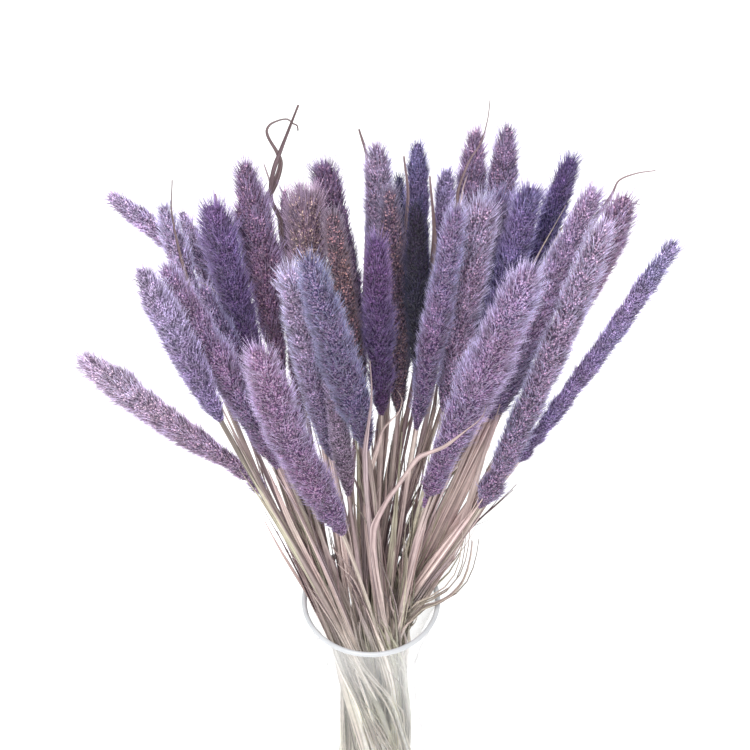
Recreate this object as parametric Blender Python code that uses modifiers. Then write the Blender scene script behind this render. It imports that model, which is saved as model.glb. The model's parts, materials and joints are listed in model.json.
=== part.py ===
"""A bunch of dried foxtail grass standing in a clear glass vase.

Every stalk is one grown piece: a thin stem that widens into a dense head of spikelets. The stems
stand on the vase's floor, turn round each other through its neck and fan out above the rim. Dry
leaf strips stand among them. Units are metres, +Z is up, the origin is the middle of the underside.
"""

import math
from dataclasses import dataclass

import bmesh
import bpy
import numpy as np

# Vase
VASE_HEIGHT = 0.240
RIM_RADIUS = 0.045
NECK_HEIGHT = 0.156
NECK_RADIUS = 0.030
BODY_HEIGHT = 0.050
BODY_RADIUS = 0.039
HEEL_RADIUS = 0.037
HEEL_ROUND = 0.004
WALL = 0.003
FLOOR_THICKNESS = 0.011
VASE_STEPS = 28
FLARE_POINTS = 5
BODY_POINTS = 4
FOOT_POINTS = 2

# Space left between pieces that lie against each other, and the least distance told apart
GAP = 0.0004
TINY = 1e-9
WELD = 0.00001

# Stalks
STEM_FOOT_RADIUS = 0.0020
STEM_TOP_RADIUS = 0.0016
SIDES = 6
NECK_RINGS = 2
REACH_RINGS = 4
BAND_LENGTH = 0.021
LEAST_BANDS = 5
CORE_SHARE = 0.58
# Bands by which spikelets lean to the tip, and by which the core ends below it
SPIKELET_LEAN = 0.75
CORE_SHORT = 0.45
# Share of the head's half width at shares of its length, from its lower end to its tip
HEAD_SHAPE = ((0.0, 0.28), (0.12, 0.74), (0.35, 1.0), (0.70, 0.98), (0.90, 0.74), (1.0, 0.36))

# Leaf strips
STRIP_THICKNESS = 0.0008
STRIP_FOOT_WIDTH = 0.0026
STRIP_TIP_WIDTH = 0.0014
STRIP_STEP = 0.030
STRIP_EDGE = 0.0004

# Twist of the sheaf: how far the stems turn round each other down to the neck and to the floor
NECK_TURN = math.radians(70)
FOOT_TURN = math.radians(130)
SHEAF_LEAN = math.radians(7)

# Bending apart: how often, how strongly each round evens a stem's bend, the largest move of a
# round, the shortfall that is left, and where along each length the glass is felt for
SPREAD_ROUNDS = 400
STEM_EASE = 0.25
LARGEST_PUSH = 0.003
LEFT_SHORT = 0.0001
GLASS_TESTS = (0.0, 0.25, 0.5, 0.75, 1.0)
GLASS_SLANT = 1.1

# View that the places below are sighted in: a square picture that looks down on the rim.
# Its lengths are pixels, and the rim's real radius gives their size.
VIEW_MIDDLE = (375.0, 375.0)
VIEW_FOCAL = 1400.0
VIEW_PITCH = math.radians(43)
RIM_SIGHTED = (371.0, 597.5)
RIM_SIGHTED_RADIUS = 69.4

TONES = {
    "violet": (0.150, 0.110, 0.300),
    "lilac": (0.420, 0.320, 0.520),
    "mauve": (0.330, 0.210, 0.360),
    "rose": (0.420, 0.280, 0.380),
    "umber": (0.260, 0.160, 0.200),
    "plum": (0.120, 0.080, 0.180),
}
STRAW_COLOUR = (0.420, 0.290, 0.240)
GLASS_COLOUR = (0.900, 0.950, 0.960)
HEAD_ROUGHNESS = 0.85
STRAW_ROUGHNESS = 0.70
GLASS_ROUGHNESS = 0.03


@dataclass
class Stalk:
    """A stalk as it is sighted: picture points of its head's tip and lower end, how far its plane
    leans back from upright in degrees, its head's full width, its tone, and how many picture points
    to the right the head's middle bows."""

    tip: tuple
    base: tuple
    lean: float
    width: float
    tone: str
    bow: float = 0.0


@dataclass
class Strip:
    """A leaf strip as it is sighted: picture points from its tip down, how far its plane leans back
    in degrees, its greatest width, and how far it twists from facing the view, in degrees."""

    route: tuple
    lean: float
    width: float
    twist: float


STALKS = {
    "stalk_01": Stalk(tip=(106, 193), base=(232, 286), lean=12, width=0.014, tone="lilac"),
    "stalk_02": Stalk(tip=(162, 204), base=(226, 400), lean=8, width=0.015, tone="lilac"),
    "stalk_03": Stalk(tip=(180, 208), base=(256, 405), lean=13, width=0.014, tone="lilac"),
    "stalk_04": Stalk(tip=(211, 204), base=(264, 415), lean=9, width=0.022, tone="violet"),
    "stalk_05": Stalk(tip=(139, 267), base=(222, 423), lean=-3, width=0.018, tone="violet"),
    "stalk_06": Stalk(tip=(163, 264), base=(279, 469), lean=0, width=0.020, tone="lilac"),
    "stalk_07": Stalk(tip=(200, 285), base=(283, 460), lean=4, width=0.016, tone="rose"),
    "stalk_08": Stalk(tip=(243, 160), base=(284, 385), lean=10, width=0.024, tone="mauve"),
    "stalk_09": Stalk(tip=(284, 186), base=(304, 430), lean=14, width=0.015, tone="mauve"),
    "stalk_10": Stalk(tip=(304, 193), base=(318, 405), lean=11, width=0.027, tone="rose"),
    "stalk_11": Stalk(tip=(299, 181), base=(326, 425), lean=16, width=0.016, tone="mauve"),
    "stalk_12": Stalk(tip=(322, 161), base=(360, 392), lean=15, width=0.019, tone="mauve", bow=5),
    "stalk_13": Stalk(tip=(331, 210), base=(362, 415), lean=9, width=0.017, tone="umber"),
    "stalk_14": Stalk(tip=(306, 257), base=(367, 450), lean=-1, width=0.024, tone="lilac"),
    "stalk_15": Stalk(tip=(289, 270), base=(333, 460), lean=3, width=0.021, tone="lilac"),
    "stalk_16": Stalk(tip=(257, 350), base=(343, 535), lean=-8, width=0.024, tone="lilac", bow=-9),
    "stalk_17": Stalk(tip=(79, 357), base=(262, 491), lean=3, width=0.021, tone="mauve"),
    "stalk_18": Stalk(tip=(376, 141), base=(390, 360), lean=17, width=0.018, tone="mauve"),
    "stalk_19": Stalk(tip=(389, 187), base=(398, 416), lean=12, width=0.019, tone="rose"),
    "stalk_20": Stalk(tip=(373, 203), base=(384, 400), lean=18, width=0.014, tone="violet"),
    "stalk_21": Stalk(tip=(376, 236), base=(381, 416), lean=7, width=0.020, tone="violet"),
    "stalk_22": Stalk(tip=(418, 139), base=(418, 350), lean=18, width=0.016, tone="violet"),
    "stalk_23": Stalk(tip=(399, 173), base=(404, 380), lean=21, width=0.014, tone="plum"),
    "stalk_24": Stalk(tip=(416, 201), base=(420, 400), lean=10, width=0.017, tone="plum"),
    "stalk_25": Stalk(tip=(447, 167), base=(436, 370), lean=16, width=0.015, tone="violet"),
    "stalk_26": Stalk(tip=(476, 127), base=(458, 352), lean=19, width=0.018, tone="mauve"),
    "stalk_27": Stalk(tip=(509, 123), base=(482, 348), lean=18, width=0.018, tone="rose"),
    "stalk_28": Stalk(tip=(500, 193), base=(468, 398), lean=10, width=0.016, tone="lilac"),
    "stalk_29": Stalk(tip=(458, 206), base=(416, 430), lean=4, width=0.018, tone="lilac"),
    "stalk_30": Stalk(tip=(483, 202), base=(444, 412), lean=7, width=0.022, tone="rose"),
    "stalk_31": Stalk(tip=(533, 185), base=(470, 405), lean=9, width=0.019, tone="violet"),
    "stalk_32": Stalk(tip=(573, 155), base=(497, 375), lean=14, width=0.019, tone="violet"),
    "stalk_33": Stalk(tip=(596, 189), base=(490, 415), lean=7, width=0.020, tone="lilac"),
    "stalk_34": Stalk(tip=(532, 268), base=(430, 492), lean=-3, width=0.029, tone="lilac"),
    "stalk_35": Stalk(tip=(606, 221), base=(483, 502), lean=2, width=0.019, tone="mauve", bow=5),
    "stalk_36": Stalk(tip=(628, 194), base=(514, 440), lean=7, width=0.018, tone="rose", bow=4),
    "stalk_37": Stalk(tip=(677, 240), base=(518, 462), lean=1, width=0.013, tone="violet", bow=3),
    "stalk_38": Stalk(tip=(333, 385), base=(349, 497), lean=3, width=0.014, tone="plum"),
}

STRIPS = {
    "leaf_strip_01": Strip(((298, 104), (290, 126), (280, 152), (273, 172), (271, 192), (280, 232)), 13, 0.0030, 10),
    "leaf_strip_02": Strip(((298, 130), (286, 119), (272, 124), (267, 133), (279, 156), (280, 168),
                            (266, 205)), 16, 0.0026, 20),
    "leaf_strip_03": Strip(((172, 180), (172, 215), (188, 281)), 7, 0.0020, 0),
    "leaf_strip_04": Strip(((359, 129), (367, 160)), 19, 0.0020, 0),
    "leaf_strip_05": Strip(((404, 156), (408, 200)), 15, 0.0020, 20),
    "leaf_strip_06": Strip(((490, 100), (481, 143), (464, 175), (457, 205)), 13, 0.0032, 25),
    "leaf_strip_07": Strip(((430, 176), (434, 244)), 14, 0.0024, 10),
    "leaf_strip_08": Strip(((656, 170), (618, 181), (606, 204), (595, 219)), 9, 0.0024, 20),
    "leaf_strip_09": Strip(((566, 205), (533, 265)), 9, 0.0020, 0),
    "leaf_strip_10": Strip(((578, 200), (539, 271)), 11, 0.0022, 0),
    "leaf_strip_11": Strip(((370, 361), (372, 405), (365, 455)), -1, 0.0034, 0),
    "leaf_strip_12": Strip(((486, 406), (482, 416), (444, 447), (421, 457), (390, 497), (374, 530)),
                           -9, 0.0048, 25),
    "leaf_strip_13": Strip(((397, 390), (402, 403), (392, 420), (380, 440), (366, 490)), 1, 0.0034, 40),
    "leaf_strip_14": Strip(((475, 547), (457, 586), (425, 606)), -4, 0.0032, 30),
    "leaf_strip_15": Strip(((215, 194), (218, 212)), 12, 0.0024, 0),
    "leaf_strip_16": Strip(((350, 588), (366, 628)), -7, 0.0046, 20),
    "leaf_strip_17": Strip(((500, 404), (476, 480), (448, 560)), 5, 0.0062, 10),
    "leaf_strip_18": Strip(((402, 432), (393, 540)), 5, 0.0044, 30),
    "leaf_strip_19": Strip(((302, 478), (333, 570)), -2, 0.0044, 20),
    "leaf_strip_20": Strip(((262, 456), (294, 530)), -1, 0.0046, 25),
}


def clear_scene():
    """Removes every object of the scene."""
    for item in list(bpy.data.objects):
        bpy.data.objects.remove(item, do_unlink=True)


def make_material(name, colour, roughness, transmission=0.0):
    """Makes a plain material."""
    material = bpy.data.materials.new(name)
    material.use_nodes = True
    shader = material.node_tree.nodes["Principled BSDF"]
    shader.inputs["Base Color"].default_value = (*colour, 1.0)
    shader.inputs["Roughness"].default_value = roughness
    shader.inputs["Metallic"].default_value = 0.0
    shader.inputs["Transmission Weight"].default_value = transmission
    material.diffuse_color = (*colour, 1.0)
    return material


def view_frame():
    """Returns the view's place and its right, up and forward directions."""
    right = np.array([1.0, 0.0, 0.0])
    up = np.array([0.0, math.sin(VIEW_PITCH), math.cos(VIEW_PITCH)])
    forward = np.array([0.0, math.cos(VIEW_PITCH), -math.sin(VIEW_PITCH)])
    distance = VIEW_FOCAL * RIM_RADIUS / RIM_SIGHTED_RADIUS
    aside = (RIM_SIGHTED[0] - VIEW_MIDDLE[0]) / VIEW_FOCAL
    below = (RIM_SIGHTED[1] - VIEW_MIDDLE[1]) / VIEW_FOCAL
    rim_middle = np.array([0.0, 0.0, VASE_HEIGHT])
    place = rim_middle - distance * (forward + aside * right - below * up)
    return place, right, up, forward


def seen(pixel, lean):
    """Returns where the sight line through a picture point meets the plane that leans back by so
    many degrees about the middle of the vase's neck."""
    place, right, up, forward = view_frame()
    aside = (pixel[0] - VIEW_MIDDLE[0]) / VIEW_FOCAL
    below = (pixel[1] - VIEW_MIDDLE[1]) / VIEW_FOCAL
    sight = forward + aside * right - below * up
    tilt = math.radians(lean)
    normal = np.array([0.0, math.cos(tilt), -math.sin(tilt)])
    pivot = np.array([0.0, 0.0, NECK_HEIGHT])
    return place + sight * np.dot(pivot - place, normal) / np.dot(sight, normal)


def sight_directions(points):
    """Returns the unit direction from the view to each point."""
    place = view_frame()[0]
    away = points - place
    return away / np.linalg.norm(away, axis=1)[:, None]


def outer_radius(height):
    """Returns the vase's outer radius at a height: a foot, a full body, a neck and a flared rim."""
    if height >= NECK_HEIGHT:
        share = min(1.0, (height - NECK_HEIGHT) / (VASE_HEIGHT - WALL / 2 - NECK_HEIGHT))
        return NECK_RADIUS + (RIM_RADIUS - NECK_RADIUS) * (1 - math.cos(share * math.pi / 2))
    if height >= BODY_HEIGHT:
        share = (height - BODY_HEIGHT) / (NECK_HEIGHT - BODY_HEIGHT)
        return BODY_RADIUS + (NECK_RADIUS - BODY_RADIUS) * (1 - math.cos(share * math.pi)) / 2
    share = height / BODY_HEIGHT
    return HEEL_RADIUS + (BODY_RADIUS - HEEL_RADIUS) * math.sin(share * math.pi / 2)


def inner_radius(height):
    """Returns the radius of the vase's inside at a height, across its flats."""
    return (outer_radius(height) - WALL) * math.cos(math.pi / VASE_STEPS)


def neck_circle():
    """Returns how far from the axis a stem's middle line can pass through the neck."""
    return inner_radius(NECK_HEIGHT) - STEM_FOOT_RADIUS - 2 * GAP


def floor_circle():
    """Returns how far from the axis a stem can stand on the vase's floor."""
    return inner_radius(FLOOR_THICKNESS) - HEEL_ROUND - STEM_FOOT_RADIUS


def vase_profile():
    """Returns the vase's section as radius and height, up the inside and down the outside."""
    flare = list(np.linspace(NECK_HEIGHT, VASE_HEIGHT - WALL / 2, FLARE_POINTS + 1))
    body = list(np.linspace(BODY_HEIGHT, NECK_HEIGHT, BODY_POINTS + 1))[:-1]
    low = list(np.linspace(FLOOR_THICKNESS + HEEL_ROUND, BODY_HEIGHT, FOOT_POINTS + 1))[:-1]
    inside = [(0.0, FLOOR_THICKNESS)]
    inside.append((outer_radius(FLOOR_THICKNESS) - WALL - HEEL_ROUND, FLOOR_THICKNESS))
    inside += [(outer_radius(z) - WALL, z) for z in low + body + flare]
    lip_radius = outer_radius(VASE_HEIGHT) - WALL / 2
    lip = [(lip_radius - WALL / 4, VASE_HEIGHT), (lip_radius + WALL / 4, VASE_HEIGHT)]
    outside = [(outer_radius(z), z) for z in reversed([HEEL_ROUND] + low + body + flare)]
    outside += [(HEEL_RADIUS - HEEL_ROUND, 0.0), (0.0, 0.0)]
    return inside + lip + outside


def make_vase(collection, material):
    """Turns the vase's section into a closed glass body."""
    profile = vase_profile()
    mesh = bpy.data.meshes.new("vase")
    points = [(radius, 0.0, height) for radius, height in profile]
    mesh.from_pydata(points, [(i, i + 1) for i in range(len(points) - 1)], [])
    vase = bpy.data.objects.new("vase", mesh)
    collection.objects.link(vase)
    vase.data.materials.append(material)
    turn = vase.modifiers.new("turn", "SCREW")
    turn.axis = "Z"
    turn.steps = VASE_STEPS
    turn.render_steps = VASE_STEPS
    turn.use_merge_vertices = True
    turn.merge_threshold = WELD
    turn.use_smooth_shade = True


def stand_knots(lowest):
    """Returns the foot and the neck knot of each piece, from the lowest sighted point of each. The
    further out a piece stands in the fan, the further out it stands in the neck and on the floor.
    Pieces turn round the sheaf's leaning middle on their way down, so neighbours stay neighbours."""
    lowest = np.array(lowest)
    aside = lowest[:, 0]
    behind = lowest[:, 1] - math.tan(SHEAF_LEAN) * (lowest[:, 2] - NECK_HEIGHT)
    angle = np.arctan2(behind, aside)
    rank = np.argsort(np.argsort(np.hypot(aside, behind)))
    share = np.sqrt((rank + 0.5) / len(lowest))
    levels = ((floor_circle(), FOOT_TURN, FLOOR_THICKNESS), (neck_circle(), NECK_TURN, NECK_HEIGHT))
    knots = []
    for circle, turn, height in levels:
        across = circle * share * np.cos(angle + turn)
        along = circle * share * np.sin(angle + turn)
        knots.append(np.stack([across, along, np.full(len(lowest), height)], axis=1))
    return list(zip(*knots))


def smooth_route(knots, shares):
    """Returns points of a smooth curve through the knots, at shares of the way counted in knots."""
    knots = np.array(knots)
    steps = np.linalg.norm(np.diff(knots, axis=0), axis=1)
    times = np.concatenate([[0.0], np.cumsum(np.sqrt(steps))])
    slopes = np.gradient(knots, times, axis=0)
    route = []
    for share in shares:
        k = min(int(share), len(knots) - 2)
        span = times[k + 1] - times[k]
        t = share - k
        start = (1 + 2 * t) * (1 - t) ** 2 * knots[k] + t * (1 - t) ** 2 * span * slopes[k]
        end = t * t * (3 - 2 * t) * knots[k + 1] - t * t * (1 - t) * span * slopes[k + 1]
        route.append(start + end)
    return np.array(route)


def head_half_width(share, stalk):
    """Returns how far the spikelets reach from the head's axis at a share of its length."""
    shares, widths = zip(*HEAD_SHAPE)
    return stalk.width / 2 * float(np.interp(share, shares, widths))


class Route:
    """The middle line of one piece: its points, the radius that it needs round each, and the
    number of its first sighted point, which on a stalk is the head's lower end."""

    def __init__(self, points, radii, sighted_from):
        self.points = points
        self.radii = np.array(radii)
        self.sighted_from = sighted_from


def stem_shares():
    """Returns where a stem's rings lie: from the foot through the neck to the first sighted knot,
    counted in knots."""
    in_vase = np.linspace(0, 1, NECK_RINGS + 1)
    above = np.linspace(1, 2, REACH_RINGS + 1)
    return list(in_vase) + list(above[1:])


def stalk_route(stalk, stand):
    """Lays out a stalk from its foot, through the neck and the head's lower end, to its tip."""
    tip = seen(stalk.tip, stalk.lean)
    base = seen(stalk.base, stalk.lean)
    halfway = ((stalk.tip[0] + stalk.base[0]) / 2 + stalk.bow, (stalk.tip[1] + stalk.base[1]) / 2)
    knots = [*stand, base, seen(halfway, stalk.lean), tip]
    bands = max(LEAST_BANDS, round(float(np.linalg.norm(tip - base)) / BAND_LENGTH))
    shares = stem_shares()
    head_start = len(shares) - 1
    shares += list(np.linspace(2, 4, bands + 1))[1:]
    stem = np.linspace(STEM_FOOT_RADIUS, STEM_TOP_RADIUS, head_start)
    head = [head_half_width(k / bands, stalk) for k in range(bands + 1)]
    return Route(smooth_route(knots, shares), list(stem) + head, head_start)


def strip_route(strip, stand):
    """Lays out a leaf strip from its foot on the vase's floor to its tip."""
    knots = [*stand] + [seen(pixel, strip.lean) for pixel in reversed(strip.route)]
    shares = stem_shares()
    sighted_from = len(shares) - 1
    for k in range(2, len(knots) - 1):
        pieces = max(1, round(float(np.linalg.norm(knots[k + 1] - knots[k])) / STRIP_STEP))
        shares += list(np.linspace(k, k + 1, pieces + 1))[1:]
    ends = (0.0, 1.0, 2.0, len(knots) - 1.0)
    widths = (STRIP_FOOT_WIDTH, STRIP_FOOT_WIDTH, strip.width, STRIP_TIP_WIDTH)
    radii = np.interp(shares, ends, widths) / 2
    return Route(smooth_route(knots, shares), radii, sighted_from)


def closest_shares(a, along_a, b, along_b):
    """Returns how far along each of two rows of segments their nearest points lie, from 0 to 1."""
    between = a - b
    aa = np.sum(along_a * along_a, axis=1)
    bb = np.sum(along_b * along_b, axis=1)
    ab = np.sum(along_a * along_b, axis=1)
    fa = np.sum(along_a * between, axis=1)
    fb = np.sum(along_b * between, axis=1)
    spread = np.maximum(aa * bb - ab * ab, TINY * TINY)
    share_a = np.clip((ab * fb - fa * bb) / spread, 0.0, 1.0)
    share_b = np.clip((ab * share_a + fb) / bb, 0.0, 1.0)
    share_a = np.clip((ab * share_b - fa) / aa, 0.0, 1.0)
    return share_a, share_b


class Sheaf:
    """All middle lines together, as rows of points that can be bent apart."""

    def __init__(self, routes):
        self.routes = routes
        self.points = np.concatenate([route.points for route in routes])
        self.start = self.points.copy()
        self.radii = np.concatenate([route.radii for route in routes])
        self.sight = sight_directions(self.points)
        self.offsets = np.cumsum([0] + [len(route.points) for route in routes])
        self.seen = np.zeros(len(self.points), dtype=bool)
        first = []
        owner = []
        for number, route in enumerate(routes):
            low = self.offsets[number]
            high = self.offsets[number + 1]
            self.seen[low + route.sighted_from:high] = True
            first += range(low, high - 1)
            owner += [number] * (high - 1 - low)
        self.first = np.array(first)
        self.owner = np.array(owner)
        one, other = np.triu_indices(len(first), 1)
        apart = self.owner[one] != self.owner[other]
        self.one = one[apart]
        self.other = other[apart]

    def push_apart(self):
        """Moves the ends of segments that lie too near each other. Sighted lengths move along the
        sight line, which keeps the picture, and the rest moves straight apart. Returns the worst
        shortfall."""
        i = self.first[self.one]
        j = self.first[self.other]
        middle = (self.points[self.first] + self.points[self.first + 1]) / 2
        half = np.linalg.norm(self.points[self.first + 1] - self.points[self.first], axis=1) / 2
        wide = np.maximum(self.radii[self.first], self.radii[self.first + 1]) + half
        reach = wide[self.one] + wide[self.other] + GAP
        near = np.linalg.norm(middle[self.one] - middle[self.other], axis=1) < reach
        i = i[near]
        j = j[near]
        share_i, share_j = closest_shares(self.points[i], self.points[i + 1] - self.points[i],
                                          self.points[j], self.points[j + 1] - self.points[j])
        share_i = share_i[:, None]
        share_j = share_j[:, None]
        spot_i = self.points[i] * (1 - share_i) + self.points[i + 1] * share_i
        spot_j = self.points[j] * (1 - share_j) + self.points[j + 1] * share_j
        radius_i = self.radii[i] * (1 - share_i[:, 0]) + self.radii[i + 1] * share_i[:, 0]
        radius_j = self.radii[j] * (1 - share_j[:, 0]) + self.radii[j + 1] * share_j[:, 0]
        need = radius_i + radius_j + GAP
        between = spot_i - spot_j
        distance = np.linalg.norm(between, axis=1)
        touching = distance < need
        shortfall = float(np.max(need - distance, initial=0.0))
        sighted = self.seen[i + 1] | self.seen[j + 1]
        sight = self.sight[i]
        deep = np.sum(between * sight, axis=1)
        aside = np.maximum(distance ** 2 - deep ** 2, 0.0)
        wanted = np.sqrt(np.maximum(need ** 2 - aside, 0.0))
        behind = np.where(deep >= 0, 1.0, -1.0)
        along_sight = sight * (behind * (wanted - np.abs(deep)))[:, None]
        straight = between / np.maximum(distance, TINY)[:, None] * (need - distance)[:, None]
        push = np.where(sighted[:, None], along_sight, straight) / 2
        size = np.linalg.norm(push, axis=1)[:, None]
        push = push * np.minimum(1.0, LARGEST_PUSH / np.maximum(size, TINY))
        moves = np.zeros_like(self.points)
        counts = np.zeros(len(self.points))
        for ends, share, sign in ((i, share_i, 1.0), (j, share_j, -1.0)):
            scale = (1 - share) ** 2 + share ** 2
            for point, weight in ((ends, 1 - share), (ends + 1, share)):
                part = sign * push * weight / scale
                np.add.at(moves, point[touching], part[touching])
                np.add.at(counts, point[touching], weight[touching, 0])
        self.points += moves / np.maximum(counts, 1.0)[:, None]
        return shortfall

    def ease(self, amount):
        """Spreads each piece's bending along it. A head shifts and tilts as a whole."""
        moved = self.points - self.start
        for number, route in enumerate(self.routes):
            low = self.offsets[number]
            high = self.offsets[number + 1]
            shift = moved[low:high]
            eased = shift.copy()
            eased[1:-1] += amount * ((shift[:-2] + shift[2:]) / 2 - shift[1:-1])
            head = np.arange(low + route.sighted_from, high)
            depth = np.sum(moved[head] * self.sight[head], axis=1)
            along = np.linspace(-1, 1, len(head))
            tilt = np.sum(depth * along) / np.sum(along * along)
            level = np.mean(depth) + tilt * along
            eased[route.sighted_from:] = self.sight[head] * level[:, None]
            self.points[low:high] = self.start[low:high] + eased

    def keep_in_vase(self):
        """Draws every length below the rim inside the glass, and the feet on to the floor. Returns
        the worst shortfall."""
        worst = 0.0
        for share in GLASS_TESTS:
            spot = self.points[self.first] * (1 - share) + self.points[self.first + 1] * share
            radius = self.radii[self.first] * (1 - share) + self.radii[self.first + 1] * share
            inside = np.nonzero(spot[:, 2] < VASE_HEIGHT + 2 * GAP)[0]
            for k in inside:
                height = min(max(spot[k, 2], FLOOR_THICKNESS), VASE_HEIGHT)
                limit = inner_radius(height) - radius[k] * GLASS_SLANT - GAP
                reach = math.hypot(spot[k, 0], spot[k, 1])
                if reach > limit:
                    worst = max(worst, reach - limit)
                    inward = -spot[k] * (reach - limit) / reach
                    inward[2] = 0.0
                    scale = (1 - share) ** 2 + share ** 2
                    self.points[self.first[k]] += inward * (1 - share) / scale
                    self.points[self.first[k] + 1] += inward * share / scale
        feet = self.offsets[:-1]
        rise = self.points[feet + 1] - self.points[feet]
        slope = np.hypot(rise[:, 0], rise[:, 1]) / np.linalg.norm(rise, axis=1)
        self.points[feet, 2] = FLOOR_THICKNESS + GAP + self.radii[feet] * slope
        reach = np.hypot(self.points[feet, 0], self.points[feet, 1])
        draw = np.minimum(1.0, floor_circle() / np.maximum(reach, TINY))
        self.points[feet, 0] *= draw
        self.points[feet, 1] *= draw
        return worst

    def settle(self):
        """Bends the pieces until none touch, and hands each its own points back."""
        for turn in range(SPREAD_ROUNDS):
            shortfall = self.push_apart()
            self.ease(STEM_EASE * (1 - turn / SPREAD_ROUNDS))
            shortfall = max(shortfall, self.keep_in_vase())
            if shortfall < LEFT_SHORT:
                break
        print("bent apart in", turn + 1, "rounds, worst shortfall", round(shortfall * 1000, 3), "mm")
        for number, route in enumerate(self.routes):
            route.points = self.points[self.offsets[number]:self.offsets[number + 1]]


def make_tube(name, points, radii, head_start):
    """Makes a round tube of changing radius, with filled ends, as a welded mesh. From the head's
    lower end on, each ring is turned by half a side against the one before."""
    curve = bpy.data.curves.new(name, "CURVE")
    curve.dimensions = "3D"
    curve.bevel_depth = STEM_FOOT_RADIUS
    curve.bevel_resolution = SIDES // 2 - 2
    curve.use_fill_caps = True
    spline = curve.splines.new("POLY")
    spline.points.add(len(points) - 1)
    for k, knot in enumerate(spline.points):
        knot.co = (*points[k], 1.0)
        knot.radius = radii[k] / STEM_FOOT_RADIUS
        knot.tilt = max(0, k - head_start) * math.pi / SIDES
    guide = bpy.data.objects.new(name + "_line", curve)
    bpy.context.scene.collection.objects.link(guide)
    evaluated = guide.evaluated_get(bpy.context.evaluated_depsgraph_get())
    mesh = bpy.data.meshes.new_from_object(evaluated)
    mesh.name = name
    bpy.data.objects.remove(guide, do_unlink=True)
    return mesh


def head_share(spot, head):
    """Returns how far along the head's rings a point lies, counted in bands."""
    along = np.diff(head, axis=0)
    offset = spot - head[:-1]
    share = np.clip(np.sum(offset * along, axis=1) / np.sum(along * along, axis=1), 0.0, 1.0)
    distance = np.linalg.norm(head[:-1] + along * share[:, None] - spot, axis=1)
    nearest = int(np.argmin(distance))
    return nearest + float(share[nearest])


def point_at(head, share):
    """Returns the point at a place along the head's rings, counted in bands."""
    k = min(int(share), len(head) - 2)
    return head[k] + (head[k + 1] - head[k]) * (share - k)


def raise_spikelets(mesh, head, stalk):
    """Pulls every facet of the head's core out into a pointed spikelet that leans to the tip and
    reaches the head's full width."""
    bands = len(head) - 1
    model = bmesh.new()
    model.from_mesh(mesh)
    bmesh.ops.remove_doubles(model, verts=model.verts, dist=WELD)
    first_step = head[1] - head[0]
    core = []
    for face in model.faces:
        spot = np.array(face.calc_center_median())
        if np.dot(spot - head[0], first_step) > 0:
            core.append(face)
    bands_faces = [face for face in core if len(face.verts) == 4]
    fans = [face for face in core if len(face.verts) == 3]
    end_cap = bmesh.ops.dissolve_faces(model, faces=fans)["region"]
    scales = bmesh.ops.triangulate(model, faces=bands_faces, quad_method="SHORT_EDGE")["faces"]
    raised = bmesh.ops.poke(model, faces=scales + end_cap)
    for point in raised["verts"]:
        spot = np.array(point.co)
        share = head_share(spot, head)
        outward = spot - point_at(head, share)
        size = float(np.linalg.norm(outward))
        if share > bands - CORE_SHORT - WELD / BAND_LENGTH:
            point.co = head[-1]
        else:
            reach = min(share + SPIKELET_LEAN, float(bands))
            width = head_half_width(reach / bands, stalk)
            point.co = point_at(head, reach) + outward / size * width
    for face in raised["faces"]:
        face.material_index = 1
    model.to_mesh(mesh)
    model.free()


def make_stalk(name, stalk, route, collection, straw, bloom):
    """Makes one stalk: its stem and core as a tube, and the core's spikelets."""
    head = route.points[route.sighted_from:]
    bands = len(head) - 1
    core_shares = [float(band) for band in range(bands)] + [bands - CORE_SHORT]
    core = [point_at(head, share) for share in core_shares]
    widths = [CORE_SHARE * head_half_width(share / bands, stalk) for share in core_shares]
    points = list(route.points[:route.sighted_from]) + core
    radii = list(route.radii[:route.sighted_from]) + [max(STEM_TOP_RADIUS, w) for w in widths]
    mesh = make_tube(name, points, radii, route.sighted_from)
    mesh.materials.clear()
    mesh.materials.append(straw)
    mesh.materials.append(bloom)
    raise_spikelets(mesh, head, stalk)
    collection.objects.link(bpy.data.objects.new(name, mesh))


def make_strip(name, strip, route, collection, straw):
    """Makes one leaf strip: a narrow ribbon of triangles with a thickness."""
    tangents = np.gradient(route.points, axis=0)
    sight = sight_directions(route.points)
    model = bmesh.new()
    rows = []
    for k, point in enumerate(route.points):
        along = tangents[k] / np.linalg.norm(tangents[k])
        across = np.cross(along, sight[k])
        across /= np.linalg.norm(across)
        turned = np.cross(along, across)
        angle = math.radians(strip.twist) * k / (len(route.points) - 1)
        half = route.radii[k] - STRIP_EDGE
        side = (across * math.cos(angle) + turned * math.sin(angle)) * half
        rows.append((model.verts.new(point - side), model.verts.new(point + side)))
    for low, high in zip(rows, rows[1:]):
        model.faces.new((low[0], low[1], high[1]))
        model.faces.new((low[0], high[1], high[0]))
    mesh = bpy.data.meshes.new(name)
    model.to_mesh(mesh)
    model.free()
    mesh.materials.append(straw)
    ribbon = bpy.data.objects.new(name, mesh)
    collection.objects.link(ribbon)
    thicken = ribbon.modifiers.new("thickness", "SOLIDIFY")
    thicken.thickness = STRIP_THICKNESS
    thicken.offset = 0.0


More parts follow.
